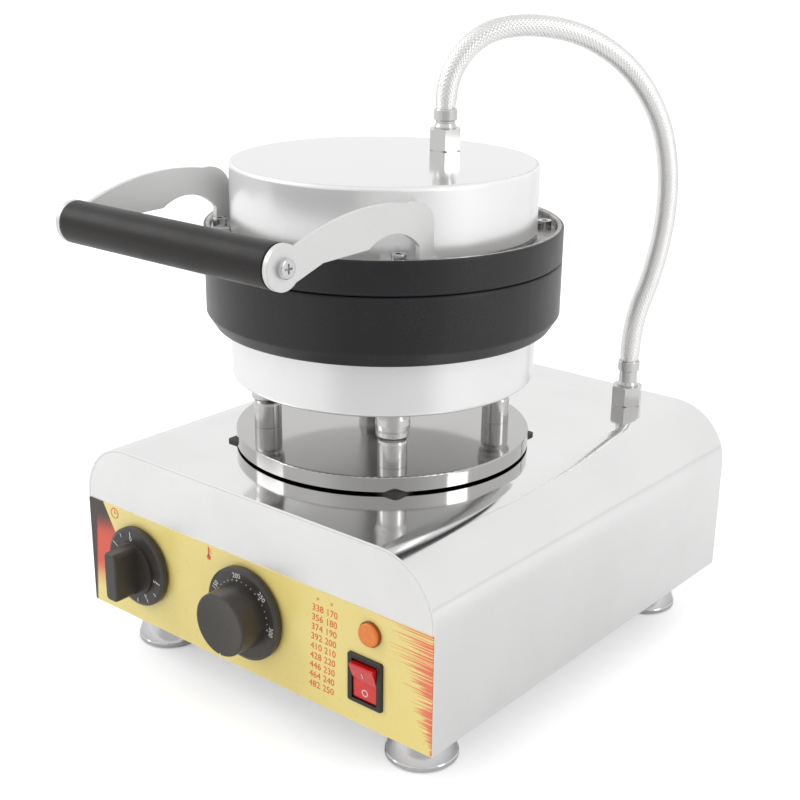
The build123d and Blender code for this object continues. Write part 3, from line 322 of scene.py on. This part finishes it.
def printed_film():
    """Panel film: a pale ground, a shaded wedge at the left and streaks at the right."""
    made = Finish("printed_film", (0.78, 0.665, 0.26), Coat_Weight=0.25)
    x, _y, z = made.position().split()
    tall = (z - film_low.z) / (film_high.z - film_low.z)
    from_left = x - film_low.x
    from_right = film_high.x - x
    soft = made.noise(240.0, 3.0, roughness=0.6)
    wide = made.noise(18.0, 3.0)
    cloud = wide.step(0.3, 0.7) * 0.6 + soft * 0.2
    paper = made.blend(cloud, (0.87, 0.735, 0.27), (0.84, 0.68, 0.21))

    fade = tall + (wide - 0.5) * 0.25
    shade = made.blend(fade.step(0.10, 0.42), paper, (0.74, 0.082, 0.035))
    shade = made.blend(fade.step(0.66, 0.90), shade, (0.030, 0.016, 0.014))
    border = 1 - (from_left - tall * border_lean).step(0.0008, 0.0030)
    shade = made.blend(border, shade, (0.035, 0.018, 0.014))
    past_wedge = from_left + tall * (wedge_foot - wedge_top) - wedge_foot
    color = made.blend(1 - past_wedge.step(-0.0002, 0.0002), paper, shade)

    lines = made.noise(1.0, 1.0, (9, 1, 1100), 0.6)
    reach = tall * (streak_top - streak_foot) + streak_foot
    near = 1 - (from_right / reach).step(0.0, 1.1)
    streak = ((lines - 0.5) * 4.5 + near).step(0.50, 0.80) * (from_right < reach)
    streak_red = made.blend(near, (0.84, 0.40, 0.15), (0.84, 0.165, 0.085))
    made.put("Base Color", made.blend(streak, color, streak_red))
    made.put("Roughness", soft * 0.1 + 0.24)
    made.bump(wide, 0.00002, 0.3)
    return made


def ink(name, color):
    """Printed ink with an uneven tone."""
    made = Finish(name, color, roughness=0.45)
    tone = made.noise(900.0, 3.0)
    made.put("Base Color", made.blend(tone * 0.5, color, toned(color, 0.8)))
    made.bump(tone, 0.00001, 0.3)
    return made


white_ink = ink("white_ink", (0.74, 0.74, 0.72))
red_ink = ink("red_ink", (0.80, 0.125, 0.045))


def dress(mesh, finish, crease):
    """One finish on a mesh, smooth but for edges sharper than crease, in degrees."""
    mesh.materials.clear()
    mesh.materials.append(finish.material)
    for polygon in mesh.polygons:
        polygon.material_index = 0
        polygon.use_smooth = True
    mesh.set_sharp_from_angle(angle=math.radians(crease))


def at_corners(part):
    """Names of the four nodes of a part that stands at the corners."""
    return [f"{part}_{end}_{side}" for end in ("front", "rear") for side in ("left", "right")]


hose_fittings = [
    f"{end}_{part}" for end in ("base", "lid") for part in ("hose_stub", "hose_nut", "ferrule")
]
finishes = {
    shell_steel: ["base_shell"],
    panel_steel: ["rear_panel", "bottom_plate"],
    front_steel: ["front_panel"],
    disc_steel: ["support_disc"],
    drum_steel: ["lower_drum"],
    cover_steel: ["lid_cover"],
    arm_steel: ["handle_arm_left", "handle_arm_right"],
    post_steel: at_corners("post"),
    chrome: [*at_corners("foot"), "handle_screws", "cap_screws"],
    plated_brass: hose_fittings,
    heater_steel: ["lower_heater", "upper_heater"],
    ring_coat: ["lower_mould"],
    rim_coat: ["upper_mould"],
    printed_film(): ["fascia_decal"],
    knob_plastic: ["timer_knob", "thermostat_knob"],
    black_plastic: ["timer_body", "thermostat_body", "switch_housing", "cable_gland"],
    rubber_pad: ["foot_pads"],
    gasket_fibre: ["heat_gasket"],
    bar_plastic: ["handle_bar"],
    red_plastic: ["switch_rocker"],
    amber_plastic: ["lamp_lens"],
    lamp_rim: ["lamp_body"],
    terminal_plastic: ["terminal_block"],
    wool_fibre: ["lower_wool", "lid_wool"],
}
node_finish = {name: finish for finish, names in finishes.items() for name in names}
for name, node in nodes.items():
    dress(node.data, node_finish.get(name, zinc_steel), crease=28)


def link(thing):
    """Puts an object in the scene."""
    bpy.context.scene.collection.objects.link(thing)
    return thing


def baked(holder):
    """Plain mesh of an object with what generates it applied; the object goes."""
    link(holder)
    graph = bpy.context.evaluated_depsgraph_get()
    mesh = bpy.data.meshes.new_from_object(holder.evaluated_get(graph))
    bpy.data.objects.remove(holder)
    return mesh


def mesh_of(shape, name):
    """Mesh from a finished bmesh."""
    mesh = bpy.data.meshes.new(name)
    shape.to_mesh(mesh)
    shape.free()
    return mesh


def add_piece(name, mesh, finish, body, crease=30):
    """Links a dressed mesh as a piece of the object, which rides on a body if one is given."""
    dress(mesh, finish, crease)
    piece = link(bpy.data.objects.new(name, mesh))
    if body:
        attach(piece, body)
    return piece


# Hose: the route of the CAD tube, as the control points of one smooth curve.
hose_start = Vector((0.004, 0.03875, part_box("lid_ferrule")[1].z))
hose_end = Vector((0.083, 0.15135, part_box("base_ferrule")[1].z))
hose_route = [
    hose_start,
    hose_start + Vector((0, 0, 0.010)),
    Vector((0.0061, 0.0417, 0.3749)),
    Vector((0.0120, 0.0501, 0.3897)),
    Vector((0.0219, 0.0643, 0.3997)),
    Vector((0.0380, 0.0871, 0.4017)),
    Vector((0.0571, 0.1144, 0.3950)),
    Vector((0.0758, 0.1411, 0.3745)),
    Vector((0.0885, 0.1592, 0.3430)),
    Vector((0.0939, 0.1669, 0.3080)),
    Vector((0.0939, 0.1669, 0.2710)),
    Vector((0.0899, 0.1612, 0.2360)),
    Vector((0.0850, 0.1543, 0.2130)),
    hose_end + Vector((0, 0, 0.015)),
    hose_end,
]
hose_diameter = 0.0136
route_steps = 54

# Braid: the strands of each family, the length of one turn, a strand's section, the neck at
# either end of the hose, and the core tube
carriers, lay_length = 16, 0.042
strand_height, strand_wave = 0.00028, 0.00013
strand_cover = 0.88
strand_profile = ((-0.5, 0.0), (0.5, 0.0), (0.0, 1.0))
wires_in_strand = 4
neck_depth, neck_length = 0.0008, 0.009
core_sides, core_gap, core_stride = 24, 0.0001, 4


def spline_points(route):
    """Points of the NURBS curve that has the route as its control points."""
    curve = bpy.data.curves.new("route", "CURVE")
    curve.dimensions = "3D"
    curve.resolution_u = route_steps
    spline = curve.splines.new("NURBS")
    spline.points.add(len(route) - 1)
    for point, place in zip(spline.points, route):
        point.co = (*place, 1.0)
    spline.order_u = 3
    spline.use_endpoint_u = True
    mesh = baked(bpy.data.objects.new("route", curve))
    points = [vertex.co.copy() for vertex in mesh.vertices]
    bpy.data.meshes.remove(mesh)
    return points


class Section:
    """A cut across the hose, at a length from its start; the neck is how far it is drawn in."""

    def __init__(self, place, heading, side, length, neck):
        self.place = place
        self.heading = heading
        self.side = side
        self.upward = heading.cross(side)
        self.length = length
        self.neck = neck

    def outward(self, angle):
        """Direction away from the middle line, at an angle round it."""
        return self.side * math.cos(angle) + self.upward * math.sin(angle)


def hose_sections(points):
    """Sections at the points of a line, none turned against the one before it."""
    lengths = [0.0]
    for before, after in zip(points, points[1:]):
        lengths.append(lengths[-1] + (after - before).length)
    behind = [points[0], *points[:-1]]
    ahead = [*points[1:], points[-1]]
    sections = []
    side = Vector((1, 0, 0))
    for place, before, after, length in zip(points, behind, ahead, lengths):
        heading = (after - before).normalized()
        side = (side - heading * side.dot(heading)).normalized()
        from_end = min(length, lengths[-1] - length)
        neck = neck_depth * max(0.0, 1 - from_end / neck_length) ** 2
        sections.append(Section(place, heading, side, length, neck))
    return sections


def skin(shape, layer, rows, turns):
    """Quads between rows, each a length and its vertices, with both ends closed.

    The UV map takes each vertex's turn and its row's length.
    """
    for (low, low_row), (high, high_row) in zip(rows, rows[1:]):
        for spoke in range(len(turns)):
            after = (spoke + 1) % len(turns)
            quad = (
                (low_row[spoke], turns[spoke], low), (low_row[after], turns[after], low),
                (high_row[after], turns[after], high), (high_row[spoke], turns[spoke], high),
            )
            face = shape.faces.new([vertex for vertex, _turn, _length in quad])
            for loop, (_vertex, turn, length) in zip(face.loops, quad):
                loop[layer].uv = (turn, length)
    shape.faces.new(rows[0][1][::-1])
    shape.faces.new(rows[-1][1])


def braided_hose(sections, radius):
    """Core tube inside two families of strands, wound over and under each other.

    The UV map holds the turn across a strand and the length; on the core its turn is -1.
    """
    middle = radius - strand_height - strand_wave
    shape = bmesh.new()
    layer = shape.loops.layers.uv.new("lay")

    core = []
    for section in sections[:-core_stride:core_stride] + sections[-1:]:
        width = middle - core_gap - section.neck
        ring = [
            shape.verts.new(section.place + section.outward(math.tau * side / core_sides) * width)
            for side in range(core_sides)
        ]
        core.append((section.length, ring))
    skin(shape, layer, core, [-1.0] * core_sides)

    lean = math.atan2(math.tau * middle, lay_length)
    strand_width = strand_cover * math.tau * middle / carriers * math.cos(lean)
    for hand in (1, -1):
        for carrier in range(carriers):
            rows = []
            for section in sections:
                wound = math.tau * section.length / lay_length
                radial = section.outward(hand * wound + math.tau * carrier / carriers)
                around = section.heading.cross(radial)
                across = around * math.cos(lean) - section.heading * (hand * math.sin(lean))
                lift = hand * strand_wave * math.cos(carriers * wound)
                base = section.place + radial * (middle + lift - section.neck)
                row = [
                    shape.verts.new(
                        base + across * (strand_width * wide) + radial * (strand_height * high)
                    )
                    for wide, high in strand_profile
                ]
                rows.append((section.length, row))
            skin(shape, layer, rows, [wide + 0.5 for wide, _high in strand_profile])
    bmesh.ops.recalc_face_normals(shape, faces=shape.faces)
    return mesh_of(shape, "hose_braid")


def braid_finish():
    """Bright wires side by side in each strand, with a dark core behind them; the wires are darker
    toward their edges than along their middles, a painted shade.
    """
    made = Finish("braid_steel", (0.8, 0.8, 0.8), metallic=1.0)
    turn, _length, _flat = made.position("UV").split()
    strand = turn > -0.5
    from_wire = abs((turn * wires_in_strand).math("FRACT") * 2.0 - 1.0)
    wire_relief_and_shade = (1 - from_wire * from_wire) * strand
    tone = made.noise(300.0, 3.0)
    # The wires' colour darkens toward their edges: painted shade. The same profile gives their
    # gloss and relief.
    color = made.blend(wire_relief_and_shade.step(0.0, 0.5), (0.45, 0.445, 0.44), (0.97, 0.965, 0.955))
    color = made.blend(strand, (0.10, 0.10, 0.10), color)
    made.put("Base Color", made.blend(tone * 0.2, color, (0.72, 0.71, 0.70)))
    made.put("Roughness", 0.34 - wire_relief_and_shade * 0.06)
    made.bump(wire_relief_and_shade, 0.00004, 0.5)
    return made


hose_points = spline_points(hose_route)
sections = hose_sections(hose_points)
hose_mesh = braided_hose(sections, hose_diameter / 2)
hose = add_piece("hose_braid", hose_mesh, braid_finish(), None, crease=40)
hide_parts("hose")
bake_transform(hose)

# Printed and moulded marks, as thin solids
mark_depth = 0.00016


def text_mesh(words, size):
    """Mesh of a number, centred on the origin in its XY plane."""
    curve = bpy.data.curves.new("word", "FONT")
    curve.body = words
    curve.size = size
    curve.align_x = "CENTER"
    curve.align_y = "CENTER"
    curve.extrude = mark_depth / 2
    curve.resolution_u = 4
    return baked(bpy.data.objects.new("word", curve))


def gather(name, parts):
    """One mesh from (mesh, matrix) pairs."""
    joined = bmesh.new()
    for mesh, matrix in parts:
        mesh.transform(matrix)
        joined.from_mesh(mesh)
        bpy.data.meshes.remove(mesh)
    return mesh_of(joined, name)


def plate(outer, inner=None):
    """Thin solid inside a closed outline, or between an outer and an inner one."""
    shape = bmesh.new()
    rings = [
        [shape.verts.new((x, y, level)) for x, y in line]
        for line in ([outer, inner] if inner else [outer])
        for level in (-mark_depth / 2, mark_depth / 2)
    ]
    if inner:
        walls = ((0, 1), (1, 3), (3, 2), (2, 0))
    else:
        walls = ((0, 1),)
        shape.faces.new(rings[0])
        shape.faces.new(rings[1])
    for index in range(len(outer)):
        after = (index + 1) % len(outer)
        for first, second in walls:
            near, far = rings[first], rings[second]
            shape.faces.new((near[index], near[after], far[after], far[index]))
    bmesh.ops.recalc_face_normals(shape, faces=shape.faces)
    return mesh_of(shape, "plate")


def circle_line(radius, count=40):
    """Outline of a disc."""
    angles = [math.tau * index / count for index in range(count)]
    return [(radius * math.cos(angle), radius * math.sin(angle)) for angle in angles]


def ring_mark(outer, inner):
    return plate(circle_line(outer), circle_line(inner))


def dot_mark(radius):
    return plate(circle_line(radius, 20))


def bar_mark(width, height):
    """Bar with rounded corners."""
    corner = min(width, height) * 0.35
    line = []
    for side, end, start in ((1, 1, 0), (-1, 1, 90), (-1, -1, 180), (1, -1, 270)):
        for angle in (math.radians(start + part * 30) for part in range(4)):
            line.append((
                side * (width / 2 - corner) + corner * math.cos(angle),
                end * (height / 2 - corner) + corner * math.sin(angle),
            ))
    return plate(line)


def facing(x, y, z, turned=0.0):
    """Matrix that lays a flat mark on a surface that faces the front."""
    upright = Matrix.Rotation(math.pi / 2, 4, "X")
    return Matrix.Translation((x, y, z)) @ upright @ Matrix.Rotation(turned, 4, "Z")


def arc_marks(name, centre, count, first, step, reach, size, round_marks=False):
    """Geometry Nodes: raised white bars or dots on an arc about centre, on a dial's front.

    Angles are in degrees clockwise from the top; size is the width, depth and height of a mark.
    """
    tree = bpy.data.node_groups.new(name, "GeometryNodeTree")
    graph = Graph(tree)
    named = {
        "Count": ("Int", count),
        "First angle": ("Float", math.radians(first)),
        "Angle step": ("Float", math.radians(step)),
        "Reach": ("Float", reach),
        "Size": ("Vector", size),
        "Centre": ("Vector", tuple(centre)),
    }
    keys = {}
    for label, (kind, _value) in named.items():
        kind = "NodeSocket" + kind
        socket = tree.interface.new_socket(label, in_out="INPUT", socket_type=kind)
        keys[label] = socket.identifier
    tree.interface.new_socket("Marks", in_out="OUTPUT", socket_type="NodeSocketGeometry")
    given = {label: graph.node("NodeGroupInput", output=label) for label in named}

    angle = given["First angle"] + graph.node("GeometryNodeInputIndex") * given["Angle step"]
    swing = {0: angle.math("SINE") * given["Reach"], 2: angle.math("COSINE") * given["Reach"]}
    offset = graph.node("ShaderNodeCombineXYZ", {}, swing)
    inputs = {0: given["Centre"], 1: offset}
    place = graph.node("ShaderNodeVectorMath", {"operation": "ADD"}, inputs)
    line = graph.node("GeometryNodeMeshLine", {}, {"Count": given["Count"]})
    points = graph.node("GeometryNodeSetPosition", {}, {"Geometry": line, "Position": place})

    if round_marks:
        width, depth, _height = given["Size"].split()
        inputs = {"Vertices": 20, "Radius": width * 0.5, "Depth": depth}
        disc = graph.node("GeometryNodeMeshCylinder", {}, inputs)
        inputs = {"Geometry": disc, "Rotation": (math.pi / 2, 0, 0)}
        mark = graph.node("GeometryNodeTransform", {}, inputs)
    else:
        mark = graph.node("GeometryNodeMeshCube", {}, {"Size": given["Size"]})
    turned = graph.node("ShaderNodeCombineXYZ", {}, {1: angle})
    rotation = graph.node("FunctionNodeEulerToRotation", {}, {0: turned})
    inputs = {"Points": points, "Instance": mark, "Rotation": rotation}
    placed = graph.node("GeometryNodeInstanceOnPoints", {}, inputs)
    real = graph.node("GeometryNodeRealizeInstances", {}, {"Geometry": placed})
    inputs = {"Geometry": real, "Material": white_ink.material}
    inked = graph.node("GeometryNodeSetMaterial", {}, inputs)
    graph.node("NodeGroupOutput", {}, {"Marks": inked})

    holder = bpy.data.objects.new(name, bpy.data.meshes.new(name))
    modifier = holder.modifiers.new("marks", "NODES")
    modifier.node_group = tree
    for label, (_kind, value) in named.items():
        modifier[keys[label]] = value
    return baked(holder)


# Dial marks, on the flat fronts of the knobs' skirts; angles are in degrees.
skirt_depth = 0.0046
print_lift = 0.00002

timer_first, timer_step = -8, -25
timer_bars, timer_numbers = 11, 6
timer_bar_size = (0.0006, mark_depth, 0.0026)
timer_bar_reach = 0.0227
timer_number_size, timer_number_reach = 0.0048, 0.0194

heat_first, heat_step = -163, 10.4
heat_dots, heat_numbers, dots_to_number = 26, 6, 5
small_dot_size = (0.0007, mark_depth, 0.0007)
large_dot_size = (0.0011, 0.00020, 0.0011)
heat_dot_reach = 0.0221
heat_number_size, heat_number_reach = 0.0045, 0.0250
grip_mark_drop = 0.0193


def dial_centre(node):
    """Middle of a knob, on the front of its skirt."""
    low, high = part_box(node)
    return Vector(((low.x + high.x) / 2, high.y - skirt_depth, (low.z + high.z) / 2))


def on_dial(centre, angle, reach):
    """Matrix for a number on a dial's skirt, at degrees clockwise from the top."""
    turned = math.radians(angle)
    across, up = reach * math.sin(turned), reach * math.cos(turned)
    return facing(centre.x + across, centre.y, centre.z + up, -turned)


def timer_marks():
    """Eleven bars, with a number at every second one."""
    centre = dial_centre("timer_knob")
    bars = arc_marks(
        "timer_bars", centre, timer_bars, timer_first, timer_step, timer_bar_reach, timer_bar_size
    )
    marks = [(bars, Matrix())]
    for number in range(timer_numbers):
        place = on_dial(centre, timer_first + number * 2 * timer_step, timer_number_reach)
        marks.append((text_mesh(str(number), timer_number_size), place))
    return gather("timer_marks", marks)


def thermostat_marks():
    """Small dots, with a larger one and a number at every fifth, and the grip's mark."""
    centre = dial_centre("thermostat_knob")
    number_step = dots_to_number * heat_step
    marks = []
    for count, step, size in (
        (heat_dots, heat_step, small_dot_size),
        (heat_numbers, number_step, large_dot_size),
    ):
        dots = arc_marks(
            "heat_dots", centre, count, heat_first, step, heat_dot_reach, size, round_marks=True
        )
        marks.append((dots, Matrix()))
    for index in range(heat_numbers):
        place = on_dial(centre, heat_first + index * number_step, heat_number_reach)
        marks.append((text_mesh(str(50 + 50 * index), heat_number_size), place))
    grip_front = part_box("thermostat_knob")[0].y
    place = facing(centre.x, grip_front - print_lift, centre.z - grip_mark_drop)
    marks.append((bar_mark(0.0008, 0.0022), place))
    return gather("thermostat_marks", marks)


add_piece("timer_marks", timer_marks(), white_ink, "timer_dial")
add_piece("thermostat_marks", thermostat_marks(), white_ink, "thermostat_dial")

# Panel print: the places of the two signs and of the table's columns and rows
clock_x, clock_z = -0.1188, 0.0995
bulb_x, bulb_z = -0.0301, 0.0962
tick_x, tick_z, tick_pitch = -0.0283, 0.0990, 0.0014
fahrenheit_x, celsius_x = 0.0604, 0.0712
heading_z, first_row_z, row_pitch, row_lean = 0.0987, 0.0924, 0.00632, 0.0004
number_size = 0.0060


def panel_print():
    """A clock and a thermometer, and a table of the same heats in two scales."""
    signs = [
        (ring_mark(0.0037, 0.0031), clock_x, clock_z),
        (bar_mark(0.0006, 0.0024), clock_x, clock_z + 0.0010),
        (bar_mark(0.0020, 0.0006), clock_x + 0.0008, clock_z),
        (dot_mark(0.0017), bulb_x, bulb_z),
        (bar_mark(0.0013, 0.0062), bulb_x, bulb_z + 0.0038),
        (ring_mark(0.0008, 0.0004), fahrenheit_x + 0.0001, heading_z),
        (ring_mark(0.0008, 0.0004), celsius_x - 0.0001, heading_z),
    ]
    for tick in range(3):
        signs.append((bar_mark(0.0014, 0.0004), tick_x, tick_z + tick * tick_pitch))
    for row in range(9):
        celsius = 170 + 10 * row
        fahrenheit = round(celsius * 1.8 + 32)
        lean, height = row * row_lean, first_row_z - row * row_pitch
        signs.append((text_mesh(str(fahrenheit), number_size), fahrenheit_x - lean, height))
        signs.append((text_mesh(str(celsius), number_size), celsius_x - lean, height))
    front = film_low.y - 2 * print_lift
    return gather("panel_print", [(mesh, facing(x, front, z)) for mesh, x, z in signs])


add_piece("panel_print", panel_print(), red_ink, "base")

# Rocker: its pivot behind the film, and its two faces, which meet in a shallow vee
pivot_depth = 0.0015
face_rise, face_reach = 0.0062, 0.0037
face_slope = math.atan2(2.0, 11.5)
rocker_lean = math.radians(11)


def rocker_marks():
    """A bar on the upper face and a ring on the lower one."""
    low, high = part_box("switch_rocker")
    pivot = Vector(((low.x + high.x) / 2, film_low.y + pivot_depth, (low.z + high.z) / 2))
    leaning = Matrix.Translation(pivot) @ Matrix.Rotation(rocker_lean, 4, "X")
    marks = []
    for half, mesh in ((1, bar_mark(0.0007, 0.0038)), (-1, ring_mark(0.0022, 0.0016))):
        face = Matrix.Translation((0, -face_reach, half * face_rise))
        slope = Matrix.Rotation(half * face_slope + math.pi / 2, 4, "X")
        marks.append((mesh, leaning @ face @ slope))
    return gather("rocker_marks", marks)


add_piece("rocker_marks", rocker_marks(), white_ink, "rocker")

# Camera: its place, directions and lens, solved from the base's straight edges
yaw, pitch, roll = 0.689, 0.356, 0.013
solved_place = Vector((0.5182, -0.62645, 0.4498))
step_back = 0.035
toward = Vector((math.sin(yaw), -math.cos(yaw)))


def add_camera():
    """Camera at the solved place, stepped back along its own direction."""
    forward = Vector((*(-toward * math.cos(pitch)), -math.sin(pitch)))
    level_right = Vector((math.cos(yaw), math.sin(yaw), 0))
    level_up = level_right.cross(forward)
    right = level_right * math.cos(roll) + level_up * math.sin(roll)
    up = level_up * math.cos(roll) - level_right * math.sin(roll)
    data = bpy.data.cameras.new("camera")
    data.sensor_width = 36
    data.lens = 61.7
    data.shift_y = 0.036
    camera = link(bpy.data.objects.new("camera", data))
    turn = Matrix((right, up, -forward)).transposed().to_4x4()
    camera.matrix_world = Matrix.Translation(solved_place - forward * step_back) @ turn
    bpy.context.scene.camera = camera


add_camera()

# Stage: a pale floor and soft studio light. Reflections see a darker patch of floor and a
# darker side of the room behind the camera; the camera itself sees neither. The floor's glow
# is for camera rays only.
floor_reach = 30.0
floor_glow = 0.33


def floor_finish():
    """Pale floor, with a patch toward the camera that only reflections and light see."""
    made = Finish("floor", (0.93, 0.93, 0.93), roughness=0.7)
    x, y, _z = made.position().split()
    seen = made.node("ShaderNodeLightPath", output="Is Camera Ray")
    ahead = x * toward.x + y * toward.y
    aside = abs(y * toward.x - x * toward.y) / ahead.math("MAXIMUM", 0.05)
    patch = ahead.step(0.30, 0.50) * (1 - aside.step(0.40, 1.00)) * (1 - seen)
    speck = made.noise(300.0, 3.0)
    clean = made.blend(speck * 0.3, (0.94, 0.94, 0.94), (0.92, 0.92, 0.92))
    made.put("Base Color", made.blend(patch, clean, (0.60, 0.60, 0.60)))
    made.put("Emission Color", seen * floor_glow)
    made.put("Emission Strength", 1.0)
    return made


def add_floor():
    shape = bmesh.new()
    bmesh.ops.create_grid(shape, x_segments=4, y_segments=4, size=floor_reach)
    floor = link(bpy.data.objects.new("floor", mesh_of(shape, "floor")))
    floor.data.materials.append(floor_finish().material)


add_floor()

lamp_aim = Vector((0, 0, 0.18))


def soft_light(name, place, size, power):
    """Rectangular lamp that points at the object's middle."""
    data = bpy.data.lights.new(name, "AREA")
    data.shape = "RECTANGLE"
    data.size, data.size_y = size
    data.energy = power
    lamp = link(bpy.data.objects.new(name, data))
    lamp.location = place
    lamp.rotation_euler = (lamp_aim - Vector(place)).to_track_quat("-Z", "Y").to_euler()


soft_light("key", (-1.5, -1.0, 1.5), (1.2, 1.2), 11)
soft_light("fill", (1.9, 0.3, 1.0), (0.6, 1.4), 6)


def studio_world():
    """White room; for reflections and light, darker behind the camera and overhead."""
    world = bpy.data.worlds.new("studio")
    world.use_nodes = True
    sky = Graph(world.node_tree)
    x, y, z = sky.node("ShaderNodeTexCoord", output="Generated").split()
    seen = sky.node("ShaderNodeLightPath", output="Is Camera Ray")
    behind_camera = (x * toward.x + y * toward.y).step(0.55, 0.95) * (1 - z.step(0.35, 0.8))
    room = 1 - (behind_camera * 0.35 + z.step(0.6, 1.0) * 0.15) * (1 - seen)
    backdrop = world.node_tree.nodes["Background"]
    sky.feed(backdrop.inputs["Color"], room)
    sky.feed(backdrop.inputs["Strength"], 1.0)
    return world


bpy.context.scene.world = studio_world()
bpy.context.scene.view_settings.view_transform = "Standard"
